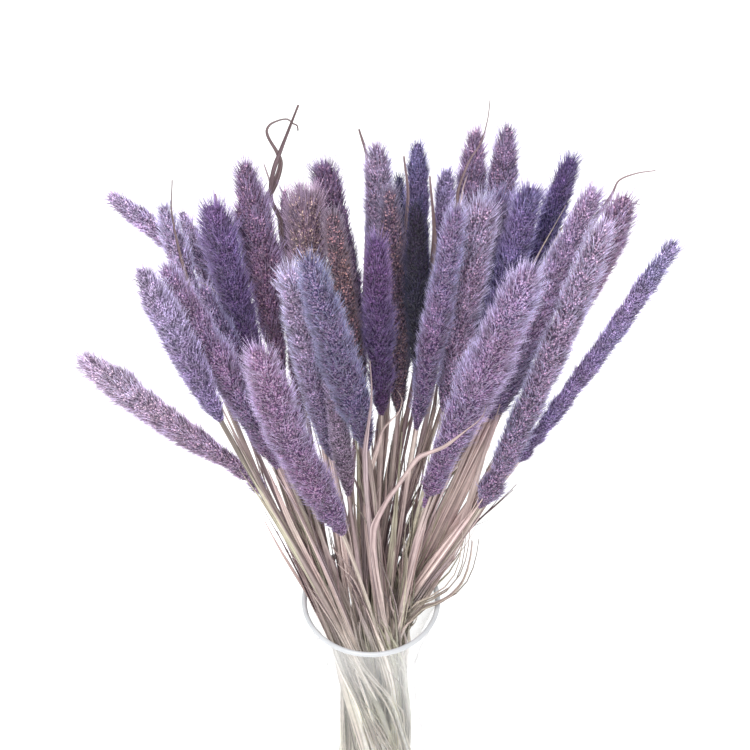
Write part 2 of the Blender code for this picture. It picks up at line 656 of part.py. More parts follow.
def main():
    clear_scene()
    collection = bpy.data.collections.new("dried foxtail grass")
    bpy.context.scene.collection.children.link(collection)
    straw = make_material("dry straw", STRAW_COLOUR, STRAW_ROUGHNESS)
    glass = make_material("clear glass", GLASS_COLOUR, GLASS_ROUGHNESS, transmission=1.0)
    blooms = {}
    for tone, colour in TONES.items():
        blooms[tone] = make_material(tone + " head", colour, HEAD_ROUGHNESS)
    make_vase(collection, glass)
    lowest = [seen(stalk.base, stalk.lean) for stalk in STALKS.values()]
    lowest += [seen(strip.route[-1], strip.lean) for strip in STRIPS.values()]
    stands = dict(zip([*STALKS, *STRIPS], stand_knots(lowest)))
    stalk_routes = {name: stalk_route(stalk, stands[name]) for name, stalk in STALKS.items()}
    strip_routes = {name: strip_route(strip, stands[name]) for name, strip in STRIPS.items()}
    Sheaf(list(stalk_routes.values()) + list(strip_routes.values())).settle()
    for name, stalk in STALKS.items():
        make_stalk(name, stalk, stalk_routes[name], collection, straw, blooms[stalk.tone])
    for name, strip in STRIPS.items():
        make_strip(name, strip, strip_routes[name], collection, straw)


main()
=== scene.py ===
"""Looks of a bunch of dried foxtail grass in a clear glass vase.

Each stalk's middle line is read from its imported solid, and is dressed with a grooved straw, a sheath
and a dense head of grains and bristles. Dry leaf strips and the glass vase are dressed the same way.
"""

import json
import math
import random

import bmesh
import bpy
from mathutils import Matrix, Vector, noise


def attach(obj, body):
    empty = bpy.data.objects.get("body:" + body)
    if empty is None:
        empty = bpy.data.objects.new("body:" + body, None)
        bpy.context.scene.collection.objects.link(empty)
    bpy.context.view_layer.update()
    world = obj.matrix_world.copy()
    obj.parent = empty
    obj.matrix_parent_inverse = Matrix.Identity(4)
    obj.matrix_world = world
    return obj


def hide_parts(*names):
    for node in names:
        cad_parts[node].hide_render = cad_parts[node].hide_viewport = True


bl_info = {
    "name": "Dried foxtail bunch",
    "version": (1, 0, 0),
    "blender": (4, 5, 0),
    "location": "View3D > Sidebar > Foxtail",
    "description": "Dresses a bunch of dried foxtail grass in a glass vase",
    "category": "Object",
}

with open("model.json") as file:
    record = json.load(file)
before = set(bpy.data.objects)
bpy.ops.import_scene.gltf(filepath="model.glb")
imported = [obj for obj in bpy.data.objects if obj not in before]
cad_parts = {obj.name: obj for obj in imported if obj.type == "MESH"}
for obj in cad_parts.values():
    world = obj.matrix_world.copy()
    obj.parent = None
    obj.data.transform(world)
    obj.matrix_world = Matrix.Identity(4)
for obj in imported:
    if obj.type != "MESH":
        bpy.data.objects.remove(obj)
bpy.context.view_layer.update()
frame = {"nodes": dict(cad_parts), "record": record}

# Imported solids: vertices round a stalk and round a strip, and the ring at which a head begins
STALK_SIDES = 6
STRIP_SIDES = 4
HEAD_RING = 6
CORE_OF_SOLID = 0.58
WELD = 0.00002
TINY = 1e-9

# View of the photograph, which sets the camera and the side that flat leaves turn to it
VIEW_PLACE = Vector((0.0026, -0.5655, 0.9646))
VIEW_PITCH = math.radians(43)
VIEW_FOCAL = 1400.0
VIEW_SIDE = 750.0
SENSOR = 36.0

# Half width of a head at shares of its length, as a share of its widest, from its lower end up.
# Lobes that hang below the lower end have shares under zero.
HEAD_FORM = ((0.0, 0.14), (0.04, 0.40), (0.12, 0.70), (0.30, 0.97), (0.54, 1.04), (0.74, 0.96),
             (0.86, 0.78), (0.94, 0.52), (1.0, 0.08))
BLUNT_FORM = ((0.0, 0.16), (0.04, 0.44), (0.12, 0.74), (0.30, 0.97), (0.60, 1.06), (0.84, 1.08),
              (0.93, 0.90), (0.975, 0.56), (1.0, 0.10))
POINTED_FORM = ((0.0, 0.14), (0.05, 0.46), (0.14, 0.80), (0.32, 1.02), (0.60, 1.10), (0.76, 1.06),
                (0.86, 0.90), (0.93, 0.66), (0.98, 0.36), (1.0, 0.08))
TOP_FORM = ((0.0, 0.12), (0.10, 0.45), (0.35, 0.85), (0.60, 1.12), (0.76, 1.22), (0.87, 0.94),
            (0.94, 0.56), (1.0, 0.08))
HEAD_FORMS = {
    **dict.fromkeys(("stalk_01", "stalk_02", "stalk_03", "stalk_05", "stalk_15", "stalk_16",
                     "stalk_22", "stalk_25"), POINTED_FORM),
    **dict.fromkeys(("stalk_04", "stalk_10", "stalk_12", "stalk_28", "stalk_30", "stalk_31"),
                    BLUNT_FORM),
    **dict.fromkeys(("stalk_18", "stalk_26", "stalk_27"), TOP_FORM),
    "stalk_08": ((0.0, 0.12), (0.10, 0.45), (0.35, 0.92), (0.60, 1.18), (0.74, 1.14), (0.85, 0.88),
                 (0.93, 0.58), (1.0, 0.08)),
    "stalk_17": ((-0.02, 0.10), (0.02, 0.55), (0.06, 0.50), (0.09, 0.22), (0.12, 0.55), (0.17, 0.70),
                 (0.20, 0.60), (0.26, 0.74), (0.45, 0.96), (0.75, 1.10), (0.88, 0.98), (0.96, 0.62),
                 (1.0, 0.12)),
    "stalk_33": ((0.0, 0.60), (0.06, 1.05), (0.20, 1.34), (0.45, 1.24), (0.70, 1.08), (0.84, 0.95),
                 (0.93, 0.68), (0.98, 0.40), (1.0, 0.08)),
    "stalk_34": ((-0.09, 0.04), (-0.07, 0.20), (-0.04, 0.24), (-0.015, 0.10), (0.0, 0.30),
                 (0.03, 0.56), (0.13, 0.62), (0.18, 0.58), (0.24, 0.70), (0.32, 0.80), (0.45, 1.0),
                 (0.70, 1.0), (0.86, 0.80), (0.95, 0.52), (1.0, 0.08)),
    "stalk_35": ((-0.04, 0.05), (0.0, 0.40), (0.055, 1.0), (0.085, 0.85), (0.105, 0.48), (0.15, 0.84),
                 (0.32, 1.02), (0.76, 1.04), (0.92, 0.78), (1.0, 0.10)),
    "stalk_36": ((0.0, 0.10), (0.15, 0.40), (0.40, 0.62), (0.62, 0.86), (0.80, 1.24), (0.91, 1.06),
                 (0.96, 0.70), (1.0, 0.12)),
    "stalk_37": ((0.0, 0.12), (0.04, 0.85), (0.07, 0.80), (0.088, 0.42), (0.12, 0.95), (0.145, 0.90),
                 (0.16, 0.55), (0.20, 0.90), (0.50, 1.0), (0.84, 1.04), (0.95, 0.70), (1.0, 0.08)),
}

# How the dye took on single heads beside an even one, with painted shade on deep ones: over one is
# paler
DYE_AND_SHADE = {
    "stalk_01": 1.26, "stalk_02": 1.15, "stalk_03": 1.28, "stalk_04": 0.76, "stalk_05": 1.47,
    "stalk_06": 0.93, "stalk_07": 0.80, "stalk_08": 0.85, "stalk_09": 0.75, "stalk_10": 0.75,
    "stalk_11": 0.70, "stalk_12": 0.63, "stalk_13": 0.72, "stalk_14": 0.74, "stalk_15": 1.29,
    "stalk_16": 0.94, "stalk_17": 1.54, "stalk_18": 1.21, "stalk_19": 0.55, "stalk_20": 0.55,
    "stalk_21": 0.64, "stalk_22": 0.96, "stalk_23": 0.74, "stalk_24": 0.24, "stalk_25": 1.18,
    "stalk_26": 0.98, "stalk_27": 0.99, "stalk_28": 0.56, "stalk_29": 0.79, "stalk_30": 1.16,
    "stalk_31": 0.86, "stalk_32": 0.60, "stalk_33": 1.07, "stalk_34": 0.93, "stalk_35": 1.22,
    "stalk_36": 0.98, "stalk_37": 1.19, "stalk_38": 1.95,
}

# How far the hue of single heads leans to red, or to blue where it is under zero
WARMTH = {
    "stalk_01": -0.03, "stalk_02": -0.03, "stalk_03": -0.02, "stalk_04": 0.02, "stalk_05": 0.01,
    "stalk_07": -0.02, "stalk_08": 0.01, "stalk_10": 0.05, "stalk_12": -0.03, "stalk_13": -0.05,
    "stalk_14": -0.05, "stalk_15": -0.03, "stalk_16": 0.01, "stalk_18": -0.04, "stalk_19": -0.03,
    "stalk_21": 0.03, "stalk_23": -0.04, "stalk_24": -0.03, "stalk_25": 0.01, "stalk_27": -0.02,
    "stalk_28": -0.05, "stalk_29": -0.03, "stalk_30": -0.02, "stalk_33": -0.01, "stalk_35": -0.04,
    "stalk_36": 0.02, "stalk_37": 0.01, "stalk_38": 0.07,
}

# Heads whose looks follow another tone than their slot's
OTHER_TONES = {"stalk_07": "lilac", "stalk_27": "mauve", "stalk_30": "mauve", "stalk_36": "mauve"}

# Painted shade: gain of a head's colour at shares of its height, darker towards its lower end
PAINTED_SHADE_BY_HEIGHT = ((0.0, 0.76), (0.35, 0.92), (0.70, 1.08), (1.0, 1.18))

# Tops of the leaf strips as the photograph shows them: picture points from the tip down
STRIP_TOPS = {
    "leaf_strip_01": ((298.5, 104.8), (290.8, 124.7), (280.6, 151.2), (274.0, 169.6), (270.9, 187.0),
                      (272.0, 202.0), (279.6, 218.0), (281.0, 232.0)),
    "leaf_strip_02": ((298.0, 130.8), (297.2, 125.4), (293.8, 124.0), (286.7, 119.0), (271.6, 123.4),
                      (266.8, 130.0), (268.6, 138.0), (277.6, 153.3), (280.6, 163.5), (276.0, 181.0),
                      (266.0, 205.0)),
    "leaf_strip_06": ((490.0, 100.0), (487.5, 120.0), (481.0, 142.5), (470.0, 160.0), (462.5, 177.5),
                      (458.0, 192.0), (457.0, 205.0)),
    "leaf_strip_08": ((655.5, 170.5), (636.0, 173.5), (619.0, 180.5), (612.5, 193.0), (605.0, 205.0),
                      (595.0, 219.0)),
    "leaf_strip_11": ((370.0, 361.0), (371.5, 385.0), (371.0, 405.0), (367.5, 432.0), (365.0, 455.0)),
    "leaf_strip_12": ((485.6, 406.0), (484.5, 412.0), (479.0, 420.5), (467.3, 429.6), (444.3, 446.8),
                      (428.2, 453.5), (419.0, 458.0), (408.7, 470.7), (397.2, 488.0), (387.0, 501.7),
                      (374.0, 530.0)),
    "leaf_strip_13": ((397.3, 390.5), (401.3, 397.0), (402.0, 403.0), (398.4, 413.0), (391.0, 420.5),
                      (383.0, 430.0), (378.5, 445.0), (366.0, 490.0)),
    "leaf_strip_14": ((472.0, 540.0), (471.0, 551.0), (468.6, 564.0), (465.7, 574.0), (461.4, 583.0),
                      (453.0, 593.0), (443.0, 600.0), (434.0, 604.0), (426.0, 606.0)),
}

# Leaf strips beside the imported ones: how much wider they are; which broaden further towards their
# tips, by the shares of the length where that starts and ends, and how much; which end bluntly; and
# which split into fibres
STRIP_WIDENING = {
    "leaf_strip_01": 1.1, "leaf_strip_02": 0.8, "leaf_strip_03": 1.2, "leaf_strip_04": 1.5,
    "leaf_strip_05": 1.5, "leaf_strip_06": 0.7, "leaf_strip_07": 1.5, "leaf_strip_08": 2.0,
    "leaf_strip_14": 0.8, "leaf_strip_15": 1.5,
}
BROAD_TIPS = {"leaf_strip_01": (0.89, 0.98, 3.8), "leaf_strip_02": (0.80, 0.88, 2.3)}
BLUNT_STRIPS = ("leaf_strip_04", "leaf_strip_05", "leaf_strip_07", "leaf_strip_15")
SPLIT_STRIPS = ("leaf_strip_14",)
SPLIT_FIBRES = 5
SPLIT_STEPS = 24

# Side shoots of leaf strips: the strip each grows from, its picture points from the tip down, and
# its greatest width
SHOOTS = {
    "leaf_strip_01": (((263.3, 163.0), (266.5, 172.0), (270.0, 183.0), (271.0, 196.0)), 0.0012),
    "leaf_strip_06": (((467.5, 175.0), (463.5, 187.0), (461.0, 202.0), (460.5, 210.0)), 0.0010),
    "leaf_strip_08": (((640.5, 204.2), (622.0, 202.0), (604.0, 200.5), (601.0, 206.0)), 0.0011),
}

# Sheaths of every stalk: where each starts and ends, as shares of the way up to the head, and how far
# it can stand off
SHEATHS = ((0.03, 0.74, 0.0100), (0.25, 0.82, 0.0), (0.45, 0.97, 0.0), (0.52, 1.14, 0.0))

# Broad pale sheaths: how far those of a stalk stand off, where they start and end, and how wide they
# are beside the stem
BROAD_SHEATHS = {
    "stalk_05": (0.0,), "stalk_15": (0.0,), "stalk_32": (0.0,), "stalk_33": (0.0, 0.0030, 0.0060),
    "stalk_34": (0.0, 0.0030), "stalk_35": (0.0, -0.0030), "stalk_36": (0.0, -0.0030),
}
BROAD_REACH = (0.40, 1.16)
BROAD_WIDTH = 2.8

# Sheaths that fill up the sheaf's right side: the height of the neck, how far right of its middle a
# stem passes that has them, how far they stand off, and where they start and end
NECK_LEVEL = 0.170
FILLED_FROM = 0.002
FILLING = (0.0035, 0.0070, 0.0105)
FILLING_REACH = (0.05, 0.84)

# Share of the usual peel at the tips of broad and filling sheaths
FLAT_TIP = 0.3

# Room that sheaths and loose fibres keep from the glass
SHEATH_ROOM = 0.0022
FIBRE_ROOM = 0.001

# Cores of the heads: sides, rings, how far below the tip they end, and the reach that a bristle has
# anywhere and that the tuft at the tip adds
CORE_SIDES = 12
CORE_RINGS = 48
CORE_BELOW_TIP = 0.0030
SHORTEST_REACH = 0.0014
TUFT_REACH = 0.0052

# Stems: sides, rings, and half the length of a joint and how far it swells
STEM_SIDES = 12
STEM_RINGS = 44
JOINT_HALF = 0.0025
JOINT_SWELL = 0.22

# Leaf strips: rings below the bend and past it
STRIP_RINGS_BELOW = 18
STRIP_RINGS_PAST = 54

# Vase: rings of its wall, steps round it, and steps over its lip and its heel
WALL_RINGS = 26
VASE_SIDES = 112
LIP_STEPS = 8
HEEL_STEPS = 5

# Random draws of the leaf strips are numbered from here, past those of the stalks
STRIP_SEEDS = 1000

# Stage: half the floor's width, and the key light's size, place and aim
FLOOR_HALF = 12.0
KEY_SIZE = 1.6
KEY_PLACE = Vector((-0.30, -1.05, 2.15))
KEY_AIM = Vector((0.0, 0.0, 0.35))


def smooth_step(low, high, value):
    """Returns 0 below low, 1 above high, and a soft change in between."""
    share = min(1.0, max(0.0, (value - low) / (high - low)))
    return share * share * (3 - 2 * share)


def table_value(table, share):
    """Returns the value at a share of a table of pairs, softly between its rows."""
    for (low, first), (high, second) in zip(table, table[1:]):
        if share <= high:
            return first + (second - first) * smooth_step(low, high, share)
    return table[-1][1]


def length_setting(name, description, default):
    """Makes a length property."""
    return bpy.props.FloatProperty(name=name, description=description, default=default, min=0.0,
                                   precision=5, subtype="DISTANCE", unit="LENGTH")


def share_setting(name, description, default):
    """Makes a property that is a plain share."""
    return bpy.props.FloatProperty(name=name, description=description, default=default, min=0.0)


def colour_setting(name, description, default):
    """Makes a colour property."""
    return bpy.props.FloatVectorProperty(name=name, description=description, default=default,
                                         size=3, min=0.0, max=1.0, subtype="COLOR")


class VaseSettings(bpy.types.PropertyGroup):
    """Sizes and colour of the glass vase."""

    height: length_setting("Height", "Height of the rim above the table", 0.240)
    rim_radius: length_setting("Rim radius", "Outer radius of the flared rim", 0.045)
    neck_height: length_setting("Neck height", "Height of the narrowest place", 0.156)
    neck_radius: length_setting("Neck radius", "Outer radius of the neck", 0.030)
    body_height: length_setting("Body height", "Height of the fullest place", 0.050)
    body_radius: length_setting("Body radius", "Outer radius of the body", 0.039)
    heel_radius: length_setting("Heel radius", "Outer radius of the foot", 0.037)
    heel_round: length_setting("Heel round", "Rounding of the foot's edge", 0.004)
    wall: length_setting("Wall", "Thickness of the glass", 0.003)
    floor: length_setting("Floor", "Thickness of the glass floor", 0.011)
    # The lip is an opaque pale band: a painted highlight for the light that the rim of the glass
    # gathers
    lip_depth: length_setting("Lip depth", "How far down the milky lip reaches", 0.0030)
    glass: colour_setting("Glass", "Tint of the glass", (0.985, 0.988, 0.988))
    lip: colour_setting("Lip", "Tint of the milky lip", (0.500, 0.512, 0.530))


class HeadSettings(bpy.types.PropertyGroup):
    """Sizes of the heads' grains and bristles."""

    core: share_setting("Core", "Share of the head's half width that the packed seeds fill", 0.68)
    bristles: share_setting("Bristles", "Bristles on a square millimetre", 0.70)
    bristle_half: length_setting("Bristle half width", "Half width of a bristle's root", 0.00018)
    bristle_reach: share_setting("Bristle reach", "Length of a bristle as a share of the half width",
                                 0.42)
    bristle_lean: share_setting("Bristle lean", "How far bristles lie along the head", 1.5)
    bristle_stray: share_setting("Bristle stray", "How far bristles stray from their lean", 0.36)
    bristle_clump: share_setting("Bristle clump", "How far neighbouring bristles bend together", 1.1)
    grains: share_setting("Grains", "Grains on a square millimetre", 0.19)
    grain_half: length_setting("Grain half width", "Half width of a grain", 0.00064)


class StrawSettings(bpy.types.PropertyGroup):
    """Sizes of the stems, sheaths and leaf strips."""

    groove: share_setting("Groove", "Depth of the stem's grooves as a share of its radius", 0.16)
    flatness: share_setting("Flatness", "Depth of a stem as a share of its width", 0.80)
    sheath_peel: length_setting("Sheath peel", "How far a sheath's tip stands off", 0.007)
    wisp_half: length_setting("Wisp half width", "Half width of a loose fibre's root", 0.00022)
    leaf_wall: length_setting("Leaf thickness", "Thickness of a leaf strip", 0.0003)


class StageSettings(bpy.types.PropertyGroup):
    """Floor and light."""

    floor: colour_setting("Floor", "Colour of the floor", (0.98, 0.98, 0.98))
    floor_glow: share_setting("Floor glow", "Light that the floor sends out of itself", 0.35)
    world: share_setting("World light", "Strength of the light from all round", 0.66)
    key: bpy.props.FloatProperty(name="Key light", description="Power of the large soft light",
                                 default=50.0, min=0.0, unit="POWER")


class Line:
    """A smooth line through knots, with a radius at each."""

    def __init__(self, knots, radii):
        self.knots = [Vector(knot) for knot in knots]
        self.radii = list(radii)
        self.marks = [0.0]
        for first, second in zip(self.knots, self.knots[1:]):
            self.marks.append(self.marks[-1] + (second - first).length)
        self.length = self.marks[-1]
        self.slopes = []
        for k in range(len(self.knots)):
            low = max(0, k - 1)
            high = min(len(self.knots) - 1, k + 1)
            span = max(TINY, self.marks[high] - self.marks[low])
            self.slopes.append((self.knots[high] - self.knots[low]) / span)

    def piece(self, distance):
        """Returns the number of the span that holds a distance, and the share along it."""
        distance = min(max(distance, 0.0), self.length)
        k = 0
        while k < len(self.marks) - 2 and self.marks[k + 1] < distance:
            k += 1
        return k, (distance - self.marks[k]) / max(TINY, self.marks[k + 1] - self.marks[k])

    def spot(self, distance):
        """Returns the point at a distance along the line."""
        k, t = self.piece(distance)
        span = self.marks[k + 1] - self.marks[k]
        start = (1 + 2 * t) * (1 - t) ** 2 * self.knots[k] + t * (1 - t) ** 2 * span * self.slopes[k]
        end = t * t * (3 - 2 * t) * self.knots[k + 1] - t * t * (1 - t) * span * self.slopes[k + 1]
        return start + end

    def radius(self, distance):
        """Returns the radius at a distance along the line."""
        k, t = self.piece(distance)
        return self.radii[k] * (1 - t) + self.radii[k + 1] * t

    def direction(self, distance):
        """Returns the line's direction at a distance along it."""
        step = self.length / 400
        low = max(0.0, distance - step)
        high = min(self.length, distance + step)
        return (self.spot(high) - self.spot(low)).normalized()


def sight(pixel):
    """Returns the unit direction in which a picture point is seen."""
    aside = (pixel[0] - VIEW_SIDE / 2) / VIEW_FOCAL
    below = (pixel[1] - VIEW_SIDE / 2) / VIEW_FOCAL
    forward = Vector((0.0, math.cos(VIEW_PITCH), -math.sin(VIEW_PITCH)))
    up = Vector((0.0, math.sin(VIEW_PITCH), math.cos(VIEW_PITCH)))
    return (forward + aside * Vector((1.0, 0.0, 0.0)) - below * up).normalized()


def redrawn(line, ring, points):
    """Returns a line that keeps another's foot up to a ring, and then runs through picture points as
    far from the view as the other line does."""
    points = points[::-1]
    steps = [0.0]
    for (x, y), (next_x, next_y) in zip(points, points[1:]):
        steps.append(steps[-1] + math.hypot(next_x - x, next_y - y))
    low = line.marks[ring]
    knots = line.knots[:ring]
    radii = line.radii[:ring]
    for point, step in zip(points, steps):
        distance = low + (line.length - low) * step / steps[-1]
        knots.append(VIEW_PLACE + sight(point) * (line.spot(distance) - VIEW_PLACE).length)
        radii.append(line.radius(distance))
    return Line(knots, radii)


def rings_of(node, sides):
    """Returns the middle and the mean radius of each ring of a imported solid, from its foot up."""
    model = bmesh.new()
    model.from_mesh(frame["nodes"][node].data)
    bmesh.ops.remove_doubles(model, verts=model.verts, dist=WELD)
    ring = sorted(model.verts, key=lambda vertex: vertex.co.z)[:sides]
    passed = set(ring)
    passed |= {vertex for vertex in model.verts if len(vertex.link_edges) == 3}
    rings = []
    while ring:
        middle = sum((vertex.co for vertex in ring), Vector()) / len(ring)
        radius = sum((vertex.co - middle).length for vertex in ring) / len(ring)
        rings.append((middle, radius))
        above = {edge.other_vert(vertex) for vertex in ring for edge in vertex.link_edges}
        ring = sorted(above - passed, key=lambda vertex: tuple(vertex.co))
        passed |= above
    model.free()
    return rings


def set_square(line, distance, wide, deep, turn=0.0):
    """Returns the matrix that sets a flat section square round a line. Its X lies across the
    photograph's sight line before it is turned, and its Z runs along the line."""
    spot = line.spot(distance)
    along = line.direction(distance)
    across = along.cross(spot - VIEW_PLACE).normalized()
    inward = along.cross(across)
    side = across * math.cos(turn) + inward * math.sin(turn)
    depth = along.cross(side)
    matrix = Matrix((side * wide, depth * deep, along)).transposed().to_4x4()
    matrix.translation = spot
    return matrix


def sweep(model, section, stations, marks, shade, closed):
    """Extrudes a section from station to station, closes its ends if it is a ring, and returns the
    faces that are made. Each vertex keeps its place round the section and its mark along it."""
    fibre = model.verts.layers.float_vector["fibre"]
    tone = model.verts.layers.float["shade"]
    ring = []
    for spot in section:
        vertex = model.verts.new(stations[0] @ spot)
        vertex[fibre] = (spot.x, spot.y, marks[0])
        vertex[tone] = shade
        ring.append(vertex)
    count = len(ring) if closed else len(ring) - 1
    first = [model.edges.new((ring[k], ring[(k + 1) % len(ring)])) for k in range(count)]
    old = set(model.faces)
    edges = first
    for before, after, mark in zip(stations, stations[1:], marks[1:]):
        made = bmesh.ops.extrude_edge_only(model, edges=edges)["geom"]
        edges = [item for item in made if isinstance(item, bmesh.types.BMEdge)]
        ring = [item for item in made if isinstance(item, bmesh.types.BMVert)]
        bmesh.ops.transform(model, matrix=after @ before.inverted(), verts=ring)
        for vertex in ring:
            vertex[fibre] = (vertex[fibre].x, vertex[fibre].y, mark)
    if closed:
        bmesh.ops.holes_fill(model, edges=first + edges, sides=0)
    faces = [face for face in model.faces if face not in old]
    return faces


def ring_section(sides, groove=0.0):
    """Returns a ring of unit radius, with every other corner drawn in by a groove."""
    ring = []
    for k in range(sides):
        angle = math.tau * k / sides
        radius = 1.0 - groove * (k % 2)
        ring.append(Vector((radius * math.cos(angle), radius * math.sin(angle), 0.0)))
    return ring


def new_model():
    """Starts a mesh with the layers that the materials read."""
    model = bmesh.new()
    model.verts.layers.float_vector.new("fibre")
    model.verts.layers.float.new("shade")
    return model


def set_in_order(model):
    """Puts vertices and faces in a fixed order. That of the bmesh operators changes from one run to
    the next, and the planting of bristles and grains would follow it."""
    for k, vertex in enumerate(sorted(model.verts, key=lambda vertex: tuple(vertex.co))):
        vertex.index = k
    model.verts.sort()
    for k, face in enumerate(sorted(model.faces, key=lambda face: sorted(
            vertex.index for vertex in face.verts))):
        face.index = k
    model.faces.sort()


def finished_mesh(model, name, materials):
    """Turns a model into a mesh."""
    set_in_order(model)
    mesh = bpy.data.meshes.new(name)
    model.to_mesh(mesh)
    model.free()
    for material in materials:
        mesh.materials.append(material)
    return mesh


def new_piece(name, mesh):
    """Puts a mesh into the scene as an object."""
    piece = bpy.data.objects.new(name, mesh)
    bpy.context.scene.collection.objects.link(piece)
    return piece


def place(tree, kind, inputs=None, **settings):
    """Adds a node, sets it, and fills or links its inputs."""
    made = tree.nodes.new(kind)
    for name, value in settings.items():
        setattr(made, name, value)
    for name, value in (inputs or {}).items():
        socket = made.inputs[name]
        if isinstance(value, bpy.types.NodeSocket):
            tree.links.new(value, socket)
        else:
            socket.default_value = value
    return made


def ramp(tree, factor, stops):
    """Adds a colour ramp of (place, colour) stops."""
    made = place(tree, "ShaderNodeValToRGB", {"Fac": factor})
    while len(made.color_ramp.elements) < len(stops):
        made.color_ramp.elements.new(0.5)
    for element, (spot, colour) in zip(made.color_ramp.elements, stops):
        element.position = spot
        element.color = (*colour, 1.0)
    return made.outputs["Color"]


def attribute(tree, name, output="Fac"):
    """Adds a reading of a mesh attribute."""
    return place(tree, "ShaderNodeAttribute", attribute_name=name).outputs[output]


def number_math(tree, operation, first, second):
    """Adds a piece of arithmetic on numbers."""
    return place(tree, "ShaderNodeMath", {0: first, 1: second}, operation=operation).outputs[0]


def vector_math(tree, operation, first, second):
    """Adds a piece of arithmetic on vectors."""
    other = "Scale" if operation == "SCALE" else 1
    return place(tree, "ShaderNodeVectorMath", {0: first, other: second},
                 operation=operation).outputs[0]


def remapped(tree, value, low, high, new_low, new_high):
    """Adds a change from one range of numbers to another."""
    return place(tree, "ShaderNodeMapRange", {"Value": value, "From Min": low, "From Max": high,
                                              "To Min": new_low,
                                              "To Max": new_high}).outputs["Result"]


def blend(tree, share, first, second):
    """Adds a blend of two colours."""
    return place(tree, "ShaderNodeMix", {0: share, 6: first, 7: second}, data_type="RGBA").outputs[2]


def soft_noise(tree, scale, detail):
    """Adds noise over the object's own coordinates."""
    spot = place(tree, "ShaderNodeTexCoord").outputs["Object"]
    return place(tree, "ShaderNodeTexNoise", {"Vector": spot, "Scale": scale,
                                              "Detail": detail}).outputs["Fac"]


def add_bump(tree, shader, height, strength, distance):
    """Roughens a shader's surface."""
    bump = place(tree, "ShaderNodeBump", {"Height": height, "Strength": strength,
                                          "Distance": distance})
    tree.links.new(bump.outputs["Normal"], shader.inputs["Normal"])


def new_group(name, sockets):
    """Starts a shader node group with (name, direction, kind, default) sockets."""
    group = bpy.data.node_groups.new(name, "ShaderNodeTree")
    for label, direction, kind, default in sockets:
        socket = group.interface.new_socket(label, in_out=direction, socket_type=kind)
        if default is not None:
            socket.default_value = default
    entry = group.nodes.new("NodeGroupInput")
    leave = group.nodes.new("NodeGroupOutput")
    return group, entry, leave


def varied_group():
    """Makes the effect that shifts a colour from one grown part to the next and in soft patches."""
    name = "grown_variation"
    if name in bpy.data.node_groups:
        return bpy.data.node_groups[name]
    group, entry, leave = new_group(name, (
        ("Colour", "INPUT", "NodeSocketColor", (0.5, 0.5, 0.5, 1.0)),
        ("Other", "INPUT", "NodeSocketColor", (0.5, 0.5, 0.5, 1.0)),
        ("Each", "INPUT", "NodeSocketFloat", 0.3),
        ("Patches", "INPUT", "NodeSocketFloat", 0.3),
        ("Gain", "INPUT", "NodeSocketFloat", 1.0),
        ("Warmth", "INPUT", "NodeSocketFloat", 0.0),
        ("Tufts", "INPUT", "NodeSocketFloat", 1.0),
        ("Colour", "OUTPUT", "NodeSocketColor", None),
    ))
    given = entry.outputs
    patches = number_math(group, "MULTIPLY", soft_noise(group, 95.0, 3.0), given["Patches"])
    mixed = blend(group, number_math(group, "MULTIPLY", patches, 2.0), given["Colour"], given["Other"])
    apart = number_math(group, "SUBTRACT", attribute(group, "shade"), 0.5)
    gain = number_math(group, "MULTIPLY", apart, given["Each"])
    bright = number_math(group, "ADD", 1.0, number_math(group, "MULTIPLY", gain, 2.0))
    depth = remapped(group, soft_noise(group, 160.0, 1.0), 0.35, 0.65, 0.74, 1.26)
    tufted = place(group, "ShaderNodeMix", {0: given["Tufts"], 2: 1.0, 3: depth}).outputs[0]
    value = number_math(group, "MULTIPLY", number_math(group, "MULTIPLY", bright, tufted),
                        given["Gain"])
    hue = remapped(group, soft_noise(group, 24.0, 1.0), 0.3, 0.7, 0.475, 0.52)
    full = remapped(group, given["Gain"], 0.4, 1.7, 1.30, 0.62)
    leaning = number_math(group, "ADD", hue, given["Warmth"])
    tuned = place(group, "ShaderNodeHueSaturation", {"Color": mixed, "Value": value, "Hue": leaning,
                                                     "Saturation": full})
    group.links.new(tuned.outputs["Color"], leave.inputs["Colour"])
    return group


def new_material(name, roughness):
    """Starts a material and returns it with its tree and its shader."""
    material = bpy.data.materials.new(name)
    material.use_nodes = True
    shader = material.node_tree.nodes["Principled BSDF"]
    shader.inputs["Roughness"].default_value = roughness
    return material, material.node_tree, shader


def varied(tree, colour, other, each, patches, gain=1.0, warmth=0.0, tufts=1.0):
    """Places the variation effect in a material."""
    made = place(tree, "ShaderNodeGroup", node_tree=varied_group())
    for label, value in (("Colour", colour), ("Other", other), ("Each", each), ("Patches", patches),
                         ("Gain", gain), ("Warmth", warmth), ("Tufts", tufts)):
        if isinstance(value, bpy.types.NodeSocket):
            tree.links.new(value, made.inputs[label])
        elif isinstance(value, tuple):
            made.inputs[label].default_value = (*value, 1.0)
        else:
            made.inputs[label].default_value = value
    return made.outputs["Colour"]
